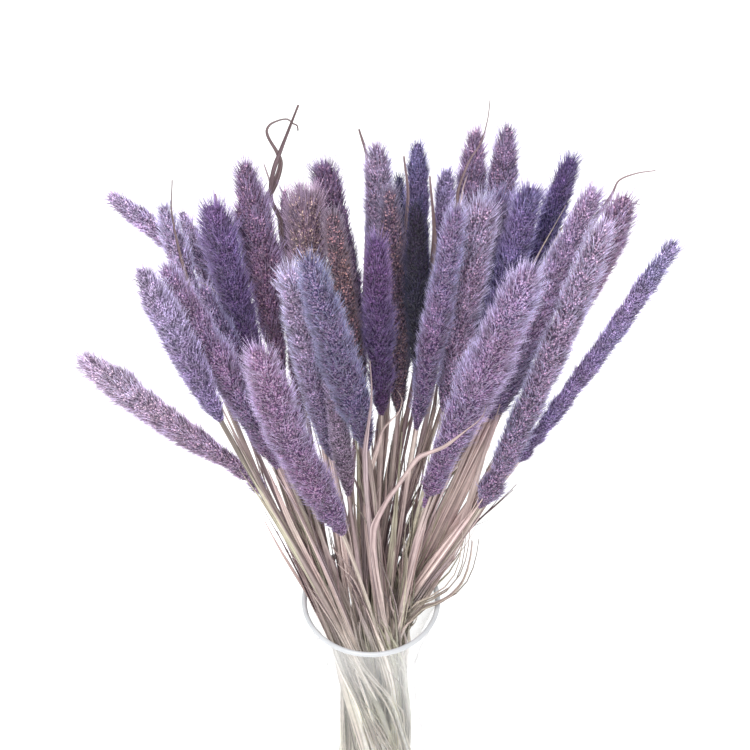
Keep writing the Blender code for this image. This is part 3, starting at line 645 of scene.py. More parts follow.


# Colours of the heads: the dark between the grains, which is painted shade, the grains, a grain that
# stands out, the bristles' roots, darkened by painted shade, and their tips
TONES = {
    "violet": ((0.018, 0.010, 0.050), (0.180, 0.118, 0.300), (0.380, 0.255, 0.500),
               (0.085, 0.058, 0.200), (0.460, 0.400, 0.740)),
    "lilac": ((0.036, 0.016, 0.062), (0.360, 0.202, 0.390), (0.640, 0.430, 0.620),
              (0.185, 0.106, 0.262), (0.680, 0.600, 0.920)),
    "mauve": ((0.032, 0.013, 0.044), (0.280, 0.146, 0.290), (0.640, 0.395, 0.530),
              (0.148, 0.080, 0.200), (0.570, 0.480, 0.780)),
    "rose": ((0.028, 0.014, 0.036), (0.300, 0.180, 0.280), (0.900, 0.610, 0.570),
             (0.130, 0.086, 0.185), (0.530, 0.450, 0.670)),
    "umber": ((0.026, 0.014, 0.026), (0.250, 0.150, 0.190), (0.960, 0.640, 0.520),
              (0.105, 0.072, 0.115), (0.430, 0.360, 0.480)),
    "plum": ((0.012, 0.007, 0.024), (0.105, 0.064, 0.160), (0.300, 0.195, 0.350),
             (0.048, 0.033, 0.100), (0.280, 0.230, 0.440)),
}

# Dyes that the grains have taken less of than the bristles: the shades between which their grains
# turn from dull to bright
GRAINS_STAND_OUT = {"rose": (0.36, 0.58), "umber": (0.36, 0.58)}
GRAINS_BRIGHTEN = (0.58, 0.84)


def add_dyed_and_shaded(tree, shader, colour, other, each, patches):
    """Gives a shader of a head a varied colour, with the dye, the painted shade and the warmth that
    the mesh holds.
    """
    tree.links.new(varied(tree, colour, other, each, patches, attribute(tree, "dye_and_shade"),
                          attribute(tree, "warmth")), shader.inputs["Base Color"])


def seed_material(tone):
    """Makes the bed of packed seeds: pale cells with dark gaps between them, the gaps painted shade.
    """
    gap_shade, grain, bright, _, _ = TONES[tone]
    material, tree, shader = new_material("seeds_" + tone, 0.75)
    spot = place(tree, "ShaderNodeTexCoord").outputs["Object"]
    cells = place(tree, "ShaderNodeTexVoronoi", {"Vector": spot, "Scale": 820.0})
    tints = place(tree, "ShaderNodeSeparateColor", {"Color": cells.outputs["Color"]})
    pale = blend(tree, number_math(tree, "POWER", tints.outputs["Red"], 2.5), (*grain, 1.0),
                 (*bright, 1.0))
    # Painted shade: the cells' edges darken to the colour between the grains
    mask = ramp(tree, cells.outputs["Distance"], ((0.30, (1, 1, 1)), (0.62, (0, 0, 0))))
    add_dyed_and_shaded(tree, shader, blend(tree, mask, (*gap_shade, 1.0), pale), grain, 0.0, 0.10)
    add_bump(tree, shader, mask, 0.9, 0.0006)
    return material


def grain_material(tone):
    """Makes the husk of a grain, dull to bright from one to the next; the darkest take the painted
    shade of the gaps.
    """
    gap_shade, grain, bright, _, _ = TONES[tone]
    material, tree, shader = new_material("grains_" + tone, 0.6)
    dull_to, bright_from = GRAINS_STAND_OUT.get(tone, GRAINS_BRIGHTEN)
    husk = ramp(tree, attribute(tree, "shade"), ((0.04, gap_shade), (0.30, grain), (dull_to, grain),
                                                 (bright_from, bright)))
    add_dyed_and_shaded(tree, shader, husk, bright, 0.32, 0.22)
    shader.inputs["Sheen Weight"].default_value = 0.25
    return material


def bristle_material(tone):
    """Makes a bristle, dark at its root, which is painted shade deep among the bristles, and pale at
    its tip.
    """
    _, _, bright, root, tip = TONES[tone]
    material, tree, shader = new_material("bristles_" + tone, 0.55)
    add_dyed_and_shaded(tree, shader, ramp(tree, attribute(tree, "along"), ((0.22, root), (0.72, tip))), bright,
             0.55, 0.14)
    shader.inputs["Sheen Weight"].default_value = 0.3
    return material


# Colours of the straws: the pale streaks, the middle tone, the dark streaks, and the foot, partly
# painted light
STRAW_LOOKS = {
    "straw_rosy": ((0.800, 0.650, 0.610), (0.480, 0.365, 0.345), (0.160, 0.100, 0.098),
                   (0.985, 0.890, 0.690)),
    "straw_grey": ((0.640, 0.560, 0.490), (0.370, 0.305, 0.260), (0.110, 0.080, 0.072),
                   (0.950, 0.880, 0.640)),
    "straw_mauve": ((0.660, 0.530, 0.540), (0.380, 0.280, 0.290), (0.115, 0.074, 0.082),
                    (0.960, 0.860, 0.680)),
    "straw_green": ((0.680, 0.650, 0.510), (0.430, 0.385, 0.290), (0.135, 0.112, 0.080),
                    (0.960, 0.930, 0.650)),
    "leaf_dusk": ((0.400, 0.295, 0.305), (0.205, 0.135, 0.142), (0.078, 0.044, 0.048),
                  (0.600, 0.560, 0.480)),
}
ROSY, GREY, MAUVE, GREEN, DUSK = range(len(STRAW_LOOKS))

# Leaf strips whose look is set, and not drawn at random
SET_LOOKS = {
    **dict.fromkeys(("leaf_strip_01", "leaf_strip_02", "leaf_strip_03", "leaf_strip_04",
                     "leaf_strip_05", "leaf_strip_06", "leaf_strip_07", "leaf_strip_08",
                     "leaf_strip_15"), DUSK),
    **dict.fromkeys(("leaf_strip_12", "leaf_strip_13", "leaf_strip_17"), ROSY),
}

# Streaks of a straw's foot: places on the ramp, and gains of the foot's colour, those over one painted
# light; and the heights over which the straw turns into its foot
FOOT_STREAKS = ((0.36, 0.50), (0.44, 1.08), (0.52, 1.34))
STRAW_ABOVE = 0.25
FOOT_BELOW = 0.15


def straw_material(name, pale, middle, dark, low):
    """Makes dry straw: streaks along the fibre, and a paler, greener foot, whose paleness is partly
    painted light that makes up for the light the glass holds back.
    """
    material, tree, shader = new_material(name, 0.62)
    fibre = attribute(tree, "fibre", "Vector")
    stretched = place(tree, "ShaderNodeMapping", {"Vector": fibre, "Scale": (0.7, 0.7, 6.0)})
    strand = number_math(tree, "MULTIPLY", attribute(tree, "shade"), 30.0)
    streaks = place(tree, "ShaderNodeTexNoise", {"Vector": stretched.outputs["Vector"], "W": strand,
                                                 "Scale": 2.6, "Detail": 3.0, "Roughness": 0.55},
                    noise_dimensions="4D").outputs["Fac"]
    straw = ramp(tree, streaks, ((0.36, dark), (0.49, middle), (0.62, pale)))
    foot = ramp(tree, streaks, [(spot, tuple(min(1.0, gain * part) for part in low))
                                for spot, gain in FOOT_STREAKS])
    spot = place(tree, "ShaderNodeTexCoord").outputs["Object"]
    height = place(tree, "ShaderNodeSeparateXYZ", {"Vector": spot}).outputs["Z"]
    colour = blend(tree, remapped(tree, height, STRAW_ABOVE, FOOT_BELOW, 0.0, 0.92), straw, foot)
    tree.links.new(varied(tree, colour, middle, 0.42, 0.20, tufts=0.25), shader.inputs["Base Color"])
    add_bump(tree, shader, streaks, 0.5, 0.0004)
    return material


def straw_looks():
    """Makes the straw materials once, in order."""
    return [bpy.data.materials.get(name) or straw_material(name, *colours)
            for name, colours in STRAW_LOOKS.items()]


def glass_material(tint):
    """Makes clear glass with a faint cool tint."""
    material, tree, shader = new_material("clear_glass", 0.0)
    shader.inputs["Transmission Weight"].default_value = 1.0
    shader.inputs["IOR"].default_value = 1.30
    waves = soft_noise(tree, 40.0, 1.0)
    colour = ramp(tree, waves, ((0.3, tuple(0.985 * part for part in tint)), (0.7, tuple(tint))))
    tree.links.new(colour, shader.inputs["Base Color"])
    add_bump(tree, shader, waves, 0.15, 0.0005)
    return material


def lip_material(tint):
    """Makes the lip of the glass as an opaque, milky-looking band: a painted highlight for the light
    that the glass rim gathers.
    """
    material, tree, shader = new_material("glass_lip", 0.3)
    brighter = tuple(min(1.0, 1.12 * part) for part in tint)
    colour = ramp(tree, soft_noise(tree, 60.0, 2.0), ((0.35, tuple(tint)), (0.65, brighter)))
    tree.links.new(colour, shader.inputs["Base Color"])
    return material


def stored(group, name, kind="FLOAT"):
    """Adds a reading of a named attribute of the geometry."""
    return place(group, "GeometryNodeInputNamedAttribute", {"Name": name}, data_type=kind).outputs[0]


def planting_group():
    """Makes the effect that sets copies of a small shape over a core, leaning to its tip."""
    group = bpy.data.node_groups.new("planting", "GeometryNodeTree")
    for label, kind in (("Core", "Geometry"), ("Shape", "Object"), ("Density", "Float"),
                        ("Seed", "Int"), ("Lean", "Float"), ("Stray", "Float"), ("Clump", "Float"),
                        ("Wide", "Float"), ("Long", "Float")):
        group.interface.new_socket(label, in_out="INPUT", socket_type="NodeSocket" + kind)
    group.interface.new_socket("Planted", in_out="OUTPUT", socket_type="NodeSocketGeometry")
    given = group.nodes.new("NodeGroupInput").outputs
    leave = group.nodes.new("NodeGroupOutput")
    thick = number_math(group, "MULTIPLY", given["Density"], stored(group, "cover"))
    points = place(group, "GeometryNodeDistributePointsOnFaces",
                   {"Mesh": given["Core"], "Density": thick, "Seed": given["Seed"]},
                   distribute_method="RANDOM")
    stray = place(group, "FunctionNodeRandomValue",
                  {0: (-1.0, -1.0, -1.0), 1: (1.0, 1.0, 1.0), "Seed": given["Seed"]},
                  data_type="FLOAT_VECTOR")
    along = vector_math(group, "SCALE", stored(group, "tip_way", "FLOAT_VECTOR"), given["Lean"])
    aside = vector_math(group, "SCALE", stray.outputs[0], given["Stray"])
    spread = vector_math(group, "ADD", vector_math(group, "ADD", points.outputs["Normal"], along),
                         aside)
    locks = place(group, "ShaderNodeTexNoise", {"Scale": 330.0, "Detail": 1.0})
    centred = vector_math(group, "SUBTRACT", locks.outputs["Color"], (0.5, 0.5, 0.5))
    aim = vector_math(group, "ADD", spread, vector_math(group, "SCALE", centred, given["Clump"]))
    turn = place(group, "FunctionNodeAlignRotationToVector", {"Vector": aim}, axis="Z")
    grown = place(group, "FunctionNodeRandomValue", {2: 0.50, 3: 1.50, "Seed": given["Seed"]},
                  data_type="FLOAT")
    near = number_math(group, "MULTIPLY", stored(group, "reach"), given["Long"])
    even = number_math(group, "MULTIPLY", near, grown.outputs[1])
    tall = number_math(group, "MULTIPLY", even,
                       remapped(group, locks.outputs["Fac"], 0.3, 0.7, 0.7, 1.25))
    size = place(group, "ShaderNodeCombineXYZ", {"X": given["Wide"], "Y": given["Wide"], "Z": tall})
    shape = place(group, "GeometryNodeObjectInfo", {"Object": given["Shape"]})
    copies = place(group, "GeometryNodeInstanceOnPoints",
                   {"Points": points.outputs["Points"], "Instance": shape.outputs["Geometry"],
                    "Rotation": turn.outputs["Rotation"], "Scale": size.outputs["Vector"]})
    each = place(group, "FunctionNodeRandomValue", data_type="FLOAT")
    shaded = place(group, "GeometryNodeStoreNamedAttribute",
                   {"Geometry": copies.outputs["Instances"], "Name": "shade",
                    "Value": each.outputs[1]}, data_type="FLOAT", domain="INSTANCE")
    real = place(group, "GeometryNodeRealizeInstances", {"Geometry": shaded.outputs["Geometry"]})
    group.links.new(real.outputs["Geometry"], leave.inputs["Planted"])
    return group


def head_group(settings):
    """Makes the effect that joins a straw, a core and what grows on it."""
    name = "foxtail_head"
    if name in bpy.data.node_groups:
        return bpy.data.node_groups[name]
    group = bpy.data.node_groups.new(name, "GeometryNodeTree")
    for label, kind in (("Straw", "Geometry"), ("Core", "Object"), ("Bristle", "Object"),
                        ("Grain", "Object"), ("Seed", "Int")):
        group.interface.new_socket(label, in_out="INPUT", socket_type="NodeSocket" + kind)
    group.interface.new_socket("Stalk", in_out="OUTPUT", socket_type="NodeSocketGeometry")
    given = group.nodes.new("NodeGroupInput").outputs
    leave = group.nodes.new("NodeGroupOutput")
    core = place(group, "GeometryNodeObjectInfo", {"Object": given["Core"]}).outputs["Geometry"]
    joined = group.nodes.new("GeometryNodeJoinGeometry")
    planting = planting_group()
    per_metre = 1e6
    for shape, density, lean, stray, clump, wide, long in (
            ("Bristle", settings.bristles, settings.bristle_lean, settings.bristle_stray,
             settings.bristle_clump, settings.bristle_half, 1.0),
            ("Grain", settings.grains, 0.6, 0.5, 0.0, settings.grain_half, 0.16)):
        planted = place(group, "GeometryNodeGroup", node_tree=planting)
        for label, value in (("Core", core), ("Shape", given[shape]), ("Seed", given["Seed"])):
            group.links.new(value, planted.inputs[label])
        for label, value in (("Density", density * per_metre), ("Lean", lean), ("Stray", stray),
                             ("Clump", clump), ("Wide", wide), ("Long", long)):
            planted.inputs[label].default_value = value
        group.links.new(planted.outputs["Planted"], joined.inputs["Geometry"])
    for part in (core, given["Straw"]):
        group.links.new(part, joined.inputs["Geometry"])
    group.links.new(joined.outputs["Geometry"], leave.inputs["Stalk"])
    return group


def bristle_shape(tone):
    """Makes one bristle of unit size: a closed spike that stands on its root."""
    model = bmesh.new()
    bmesh.ops.create_cone(model, cap_ends=True, cap_tris=False, segments=3, radius1=1.0, radius2=0.0,
                          depth=1.0, matrix=Matrix.Translation((0.0, 0.0, 0.5)))
    bmesh.ops.recalc_face_normals(model, faces=model.faces)
    along = model.verts.layers.float.new("along")
    for vertex in model.verts:
        vertex[along] = vertex.co.z
    mesh = finished_mesh(model, "bristle_" + tone, [bristle_material(tone)])
    return bpy.data.objects.new("bristle_" + tone, mesh)


def grain_shape(tone):
    """Makes one grain of unit size: a closed husk with a pointed tip."""
    model = bmesh.new()
    bmesh.ops.create_uvsphere(model, u_segments=3, v_segments=2, radius=1.0)
    bmesh.ops.recalc_face_normals(model, faces=model.faces)
    mesh = finished_mesh(model, "grain_" + tone, [grain_material(tone)])
    for face in mesh.polygons:
        face.use_smooth = True
    return bpy.data.objects.new("grain_" + tone, mesh)


def make_core(name, line, start, width, settings, seeds, tone):
    """Makes a head's core of packed seeds, with what the planting reads on its vertices."""
    model = new_model()
    way = model.verts.layers.float_vector.new("tip_way")
    reach = model.verts.layers.float.new("reach")
    cover = model.verts.layers.float.new("cover")
    form = HEAD_FORMS.get(name, HEAD_FORM)
    length = line.length - start
    first = start + form[0][0] * length
    last = line.length - CORE_BELOW_TIP
    marks = [first + (last - first) * k / (CORE_RINGS - 1) for k in range(CORE_RINGS)]
    halves = {mark: table_value(form, (mark - start) / length) * width / 2 for mark in marks}
    stations = []
    drift = seeds.uniform(0.0, 50.0)
    for mark in marks:
        swell = 1 + 0.16 * noise.noise(Vector((mark * 55, drift, 0.0)))
        half = halves[mark] * settings.core * swell
        stations.append(set_square(line, mark, half, half, mark * 20))
    sweep(model, ring_section(CORE_SIDES), stations, marks, seeds.random(), True)
    bmesh.ops.recalc_face_normals(model, faces=model.faces)
    fibre = model.verts.layers.float_vector["fibre"]
    for vertex in model.verts:
        mark = min(marks, key=lambda place: abs(place - vertex[fibre].z))
        half = halves[mark]
        wave = noise.noise(vertex.co * 150) + 0.8 * noise.noise(vertex.co * 70)
        vertex.co += vertex.normal * (half * 0.14 * wave)
        vertex[way] = line.direction(mark)
        tuft = TUFT_REACH * smooth_step(0.80, 0.98, (mark - start) / length)
        vertex[reach] = SHORTEST_REACH + half * settings.bristle_reach + tuft
        vertex[cover] = max(0.25, 1.0 + 0.9 * noise.noise(vertex.co * 75))
    mesh = finished_mesh(model, name + "_core", [bpy.data.materials["seeds_" + tone]])
    for face in mesh.polygons:
        face.use_smooth = True
    return bpy.data.objects.new(name + "_core", mesh)


def dye_and_shade(mesh, start, tip, gain, warmth):
    """Gives every vertex of a stalk its dye, with painted shade that darkens the head towards its
    lower end.
    """
    count = len(mesh.vertices)
    heights = [0.0] * (3 * count)
    mesh.attributes["position"].data.foreach_get("vector", heights)
    shares = [(height - start.z) / (tip.z - start.z) for height in heights[2::3]]
    layer = mesh.attributes.new("dye_and_shade", "FLOAT", "POINT")
    layer.data.foreach_set("value", [gain * table_value(PAINTED_SHADE_BY_HEIGHT, share) for share in shares])
    layer = mesh.attributes.new("warmth", "FLOAT", "POINT")
    layer.data.foreach_set("value", [warmth] * count)


def add_stem(model, line, end, settings, seeds, look):
    """Adds a grooved straw from the line's foot to an end, with a joint or two."""
    marks = [end * k / (STEM_RINGS - 1) for k in range(STEM_RINGS)]
    joints = [end * seeds.uniform(0.25, 0.45), end * seeds.uniform(0.60, 0.85)]
    twist = seeds.uniform(-4.0, 4.0)
    turn = seeds.uniform(0.0, math.pi)
    slim = seeds.uniform(0.86, 1.12)
    stations = []
    for mark in marks:
        swell = 1 + sum(JOINT_SWELL * math.exp(-((mark - joint) / JOINT_HALF) ** 2)
                        for joint in joints)
        radius = line.radius(mark) * slim * swell
        stations.append(set_square(line, mark, radius, radius * settings.flatness,
                                   turn + twist * mark / end))
    shade = seeds.random()
    for face in sweep(model, ring_section(STEM_SIDES, settings.groove), stations, marks, shade, True):
        face.material_index = look
        face.smooth = True


def kept_in(vase, spot, margin):
    """Returns a spot, moved inwards where the vase's glass would cut it."""
    if spot.z >= vase.height:
        return spot
    room = vase_radius(vase, max(spot.z, vase.floor)) - vase.wall - margin
    reach = math.hypot(spot.x, spot.y)
    if reach <= room:
        return spot
    return Vector((spot.x * room / reach, spot.y * room / reach, spot.z))


def beside(line, mark, angle):
    """Returns the unit direction that leaves a line at an angle from where the view lies."""
    along = line.direction(mark)
    across = along.cross(line.spot(mark) - VIEW_PLACE).normalized()
    return across * math.cos(angle) + along.cross(across) * math.sin(angle)


def add_sheath(model, line, low, high, wide, spread, settings, seeds, look, tip=1.0):
    """Adds a dry sheath: torn strips that lie round the stem, flatten beside it and peel off at
    the tip. On the right of the sheaf it can stand off by a spread."""
    straw = settings.straw
    side = seeds.uniform(0.0, math.tau)
    turn = seeds.uniform(-1.5, 1.5)
    peel = straw.sheath_peel * seeds.uniform(0.2, 1.5) * tip
    loose = seeds.uniform(0.2, 1.0)
    shade = seeds.random()
    steps = 15
    count = 9
    for strip in range(3):
        first = low + (high - low) * seeds.uniform(0.0, 0.12)
        final = high - (high - low) * seeds.uniform(0.0, 0.30)
        start_side = side + 0.75 * (strip - 1)
        knots = []
        radii = []
        for k in range(count):
            share = k / (count - 1)
            mark = first + (final - first) * share
            spot = line.spot(mark)
            away = line.radius(mark) * (1.05 + loose * smooth_step(0.1, 0.5, share))
            away += peel * seeds.uniform(0.5, 1.2) * smooth_step(0.5, 1.0, share) ** 2
            out = Vector((spread * smooth_step(-0.012, 0.010, spot.x), 0.0, 0.0))
            out *= 1 - smooth_step(0.80, 1.0, share)
            out += beside(line, mark, start_side + turn * share) * away
            knots.append(kept_in(settings.vase, spot + out, SHEATH_ROOM))
            radii.append(line.radius(mark) * wide * seeds.uniform(0.28, 0.52))
        strand = Line(knots, radii)
        marks = [strand.length * k / (steps - 1) for k in range(steps)]
        section = [Vector((-1.0, 0.35, 0.0)), Vector((0.0, -0.2, 0.0)), Vector((1.0, 0.35, 0.0))]
        stations = []
        curl = seeds.uniform(-1.4, 1.4)
        for mark in marks:
            share = mark / strand.length
            taper = 0.35 + 0.65 * smooth_step(0.0, 0.1, share)
            taper *= 1.0 - 0.88 * smooth_step(0.70, 1.0, share)
            half = strand.radius(mark) * taper
            stations.append(set_square(strand, mark, half, half,
                                       start_side + math.pi / 2 + turn * share + curl * share))
        faces = sweep(model, section, stations, marks, (shade + 0.2 * strip) % 1.0, False)
        thicken(model, faces, straw.leaf_wall, look)


def add_wisp(model, line, mark, settings, seeds, look):
    """Adds a loose fibre that stands off a stem."""
    along = line.direction(mark)
    off = beside(line, mark, seeds.uniform(0.0, math.tau))
    swing = along.cross(off)
    length = seeds.uniform(0.012, 0.045)
    spread = seeds.uniform(0.05, 0.45)
    bend = seeds.uniform(-0.5, 0.5)
    count = 6
    knots = []
    for k in range(count):
        share = k / (count - 1)
        spot = line.spot(mark) + along * (length * share) + off * (length * spread * share)
        spot += swing * (length * bend * share * share)
        knots.append(kept_in(settings.vase, spot, FIBRE_ROOM))
    radii = [settings.straw.wisp_half * (1 - 0.85 * k / (count - 1)) for k in range(count)]
    add_fibre(model, Line(knots, radii), count, seeds, look)


def add_fibre(model, line, steps, seeds, look):
    """Adds a slim three-sided fibre along a line."""
    marks = [line.length * k / (steps - 1) for k in range(steps)]
    stations = [set_square(line, at, line.radius(at), line.radius(at)) for at in marks]
    for face in sweep(model, ring_section(3), stations, marks, seeds.random(), True):
        face.material_index = look


def thicken(model, faces, wall, look):
    """Gives an open surface its thickness."""
    bmesh.ops.recalc_face_normals(model, faces=faces)
    old = set(model.faces) - set(faces)
    bmesh.ops.solidify(model, geom=faces, thickness=wall)
    for face in model.faces:
        if face not in old:
            face.material_index = look
            face.smooth = True


def add_straws(model, name, line, start, settings, seeds):
    """Adds a stalk's stem, its sheaths and its loose fibres."""
    look = seeds.choice((ROSY, ROSY, GREY, MAUVE))
    add_stem(model, line, start + 0.25 * (line.length - start), settings.straw, seeds, look)
    for low, high, spread in SHEATHS:
        add_sheath(model, line, start * (low + seeds.uniform(0.0, 0.10)),
                   start * (high + seeds.uniform(-0.18, 0.0)), seeds.uniform(1.0, 1.7),
                   spread * seeds.uniform(0.1, 1.3), settings, seeds,
                   seeds.choice((ROSY, ROSY, GREY, MAUVE, GREEN, DUSK)))
    for spread in BROAD_SHEATHS.get(name, ()):
        add_sheath(model, line, start * BROAD_REACH[0], start * BROAD_REACH[1], BROAD_WIDTH, spread,
                   settings, seeds, ROSY, FLAT_TIP)
    neck = min((line.spot(start * k / 40) for k in range(41)),
               key=lambda spot: abs(spot.z - NECK_LEVEL))
    if neck.x > FILLED_FROM:
        for spread in FILLING:
            add_sheath(model, line, start * FILLING_REACH[0], start * FILLING_REACH[1],
                       seeds.uniform(1.2, 1.8), spread, settings, seeds,
                       seeds.choice((ROSY, GREY, MAUVE, GREEN)), FLAT_TIP)
    for _ in range(6):
        add_wisp(model, line, start * seeds.uniform(0.45, 0.97), settings, seeds,
                 seeds.choice((ROSY, GREY, MAUVE, DUSK)))


def dress_stalk(name, number, slot, settings, group):
    """Dresses one stalk: its straw, its sheaths and its head."""
    seeds = random.Random(number)
    tone = OTHER_TONES.get(name, slot.split("_")[0])
    rings = rings_of(name, STALK_SIDES)
    middles = [middle for middle, _ in rings]
    line = Line(middles, [radius for _, radius in rings])
    start = line.marks[HEAD_RING]
    width = 2 * max(radius for _, radius in rings[HEAD_RING:]) / CORE_OF_SOLID
    stem_line = Line(middles, [radius if k < HEAD_RING else rings[HEAD_RING - 1][1]
                               for k, (_, radius) in enumerate(rings)])
    model = new_model()
    add_straws(model, name, stem_line, start, settings, seeds)
    piece = new_piece(name + "_grown", finished_mesh(model, name + "_straw", straw_looks()))
    core = make_core(name, line, start, width, settings.heads, seeds, tone)
    growth = piece.modifiers.new("head", "NODES")
    growth.node_group = group
    sockets = {item.name: item.identifier for item in group.interface.items_tree
               if item.in_out == "INPUT"}
    growth[sockets["Core"]] = core
    growth[sockets["Bristle"]] = bpy.data.objects["bristle_" + tone]
    growth[sockets["Grain"]] = bpy.data.objects["grain_" + tone]
    growth[sockets["Seed"]] = number
    settled = piece.evaluated_get(bpy.context.evaluated_depsgraph_get())
    grown = bpy.data.meshes.new_from_object(settled)
    piece.modifiers.clear()
    dye_and_shade(grown, line.spot(start), line.spot(line.length), DYE_AND_SHADE.get(name, 1.0), WARMTH.get(name, 0.0))
    piece.data = grown
    bpy.data.objects.remove(core, do_unlink=True)
    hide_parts(name)
    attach(piece, "root")


def add_strip(model, line, bend, blunt, settings, seeds, look):
    """Adds a thin gutter of dry leaf that twists along a line, with more steps past a bend."""
    past = line.length - bend
    marks = [bend * k / STRIP_RINGS_BELOW for k in range(STRIP_RINGS_BELOW if bend > 0 else 0)]
    marks += [bend + past * k / (STRIP_RINGS_PAST - 1) for k in range(STRIP_RINGS_PAST)]
    section = [Vector((-1.0, 0.30, 0.0)), Vector((-0.5, 0.05, 0.0)), Vector((0.0, -0.12, 0.0)),
               Vector((0.5, 0.05, 0.0)), Vector((1.0, 0.30, 0.0))]
    stations = []
    drift = seeds.uniform(0.0, 9.0)
    for mark in marks:
        sway = noise.noise(Vector((mark * 14, drift, 0.0)))
        fine = noise.noise(Vector((mark * 90, drift, 3.0)))
        taper = 1.0 - (0.25 if blunt else 0.75) * smooth_step(0.86, 1.0, mark / line.length)
        wide = line.radius(mark) * (1.1 + 0.25 * sway + 0.22 * fine) * taper
        stations.append(set_square(line, mark, wide, wide, 1.1 * sway))
    faces = sweep(model, section, stations, marks, seeds.random(), False)
    thicken(model, faces, settings.straw.leaf_wall, look)


def widened(line, share, start=0.0, end=1.0, more=1.0):
    """Returns a line with its radii changed by a share, and by one more from a start to an end."""
    return Line(line.knots, [radius * share * (1.0 + (more - 1.0)
                                               * smooth_step(start, end, mark / line.length))
                             for radius, mark in zip(line.radii, line.marks)])


def split_off(line, seeds, vase):
    """Returns the line of a fibre that leaves a strip towards its tip."""
    stray = Vector((seeds.uniform(-1, 1), seeds.uniform(-1, 1), seeds.uniform(-1, 1)))
    knots = []
    for knot, mark in zip(line.knots, line.marks):
        share = mark / line.length
        knots.append(kept_in(vase, knot + stray * (0.006 * share ** 2 + 0.0010), FIBRE_ROOM))
    return Line(knots, [0.7 * radius for radius in line.radii])


def dress_strip(name, number, settings):
    """Dresses one leaf strip, and the side shoot or the fibres that grow from it."""
    seeds = random.Random(STRIP_SEEDS + number)
    rings = rings_of(name, STRIP_SIDES)
    line = Line([middle for middle, _ in rings], [radius for _, radius in rings])
    bend = line.marks[HEAD_RING]
    if name in STRIP_TOPS:
        line = redrawn(line, HEAD_RING, STRIP_TOPS[name])
    line = widened(line, STRIP_WIDENING.get(name, 1.0), *BROAD_TIPS.get(name, ()))
    look = seeds.choice((ROSY, GREY, MAUVE, GREEN))
    look = SET_LOOKS.get(name, look)
    model = new_model()
    add_strip(model, line, bend, name in BLUNT_STRIPS, settings, seeds, look)
    if name in SPLIT_STRIPS:
        for _ in range(SPLIT_FIBRES):
            add_fibre(model, split_off(line, seeds, settings.vase), SPLIT_STEPS, seeds, GREY)
    if name in SHOOTS:
        points, width = SHOOTS[name]
        near = (line.spot(line.length * 0.9) - VIEW_PLACE).length
        knots = [VIEW_PLACE + sight(point) * near for point in points[::-1]]
        shoot = Line(knots, [width / 2 * (1 - 0.2 * k) for k in range(len(knots))])
        add_strip(model, shoot, 0.0, False, settings, seeds, MAUVE)
    piece = new_piece(name + "_dry", finished_mesh(model, name + "_dry", straw_looks()))
    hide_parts(name)
    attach(piece, "root")


def vase_radius(settings, height):
    """Returns the vase's outer radius at a height."""
    if height >= settings.neck_height:
        top = settings.height - settings.wall / 2 - settings.neck_height
        share = min(1.0, (height - settings.neck_height) / top)
        flare = 1 - math.cos(share * math.pi / 2)
        return settings.neck_radius + (settings.rim_radius - settings.neck_radius) * flare
    if height >= settings.body_height:
        share = (height - settings.body_height) / (settings.neck_height - settings.body_height)
        waist = (1 - math.cos(share * math.pi)) / 2
        return settings.body_radius + (settings.neck_radius - settings.body_radius) * waist
    share = math.sin(height / settings.body_height * math.pi / 2)
    return settings.heel_radius + (settings.body_radius - settings.heel_radius) * share


def make_vase(settings):
    """Spins the vase's section into a closed glass body."""
    low = settings.floor + settings.heel_round
    high = settings.height - settings.wall / 2
    levels = [low + (high - low) * k / (WALL_RINGS - 1) for k in range(WALL_RINGS)]
    levels.insert(-1, settings.height - settings.lip_depth)
    inside = [(0.0, settings.floor)]
    inside.append((vase_radius(settings, low) - settings.wall - settings.heel_round, settings.floor))
    inside += [(vase_radius(settings, z) - settings.wall, z) for z in levels]
    middle = settings.rim_radius - settings.wall / 2
    lip = []
    for k in range(1, LIP_STEPS):
        angle = math.pi - math.pi * k / LIP_STEPS
        lip.append((middle + settings.wall / 2 * math.cos(angle),
                    high + settings.wall / 2 * math.sin(angle)))
    heel = settings.heel_round
    outside = [(vase_radius(settings, z), z) for z in reversed(levels)]
    for k in range(HEEL_STEPS + 1):
        angle = math.pi / 2 * k / HEEL_STEPS
        outside.append((settings.heel_radius - heel + heel * math.cos(angle),
                        heel - heel * math.sin(angle)))
    profile = inside + lip + outside + [(0.0, 0.0)]
    model = bmesh.new()
    spots = [model.verts.new((radius, 0.0, height)) for radius, height in profile]
    edges = [model.edges.new(pair) for pair in zip(spots, spots[1:])]
    bmesh.ops.spin(model, geom=spots + edges, cent=(0.0, 0.0, 0.0), axis=(0.0, 0.0, 1.0),
                   angle=math.tau, steps=VASE_SIDES, use_merge=True)
    bmesh.ops.remove_doubles(model, verts=model.verts, dist=WELD)
    bmesh.ops.recalc_face_normals(model, faces=model.faces)
    for face in model.faces:
        face.smooth = True
        # Faces at the rim take the lip's look, a painted highlight
        if face.calc_center_median().z > settings.height - settings.lip_depth:
            face.material_index = 1
    looks = [glass_material(settings.glass), lip_material(settings.lip)]
    piece = new_piece("glass_vase", finished_mesh(model, "glass_vase", looks))
    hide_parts("vase")
    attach(piece, "root")


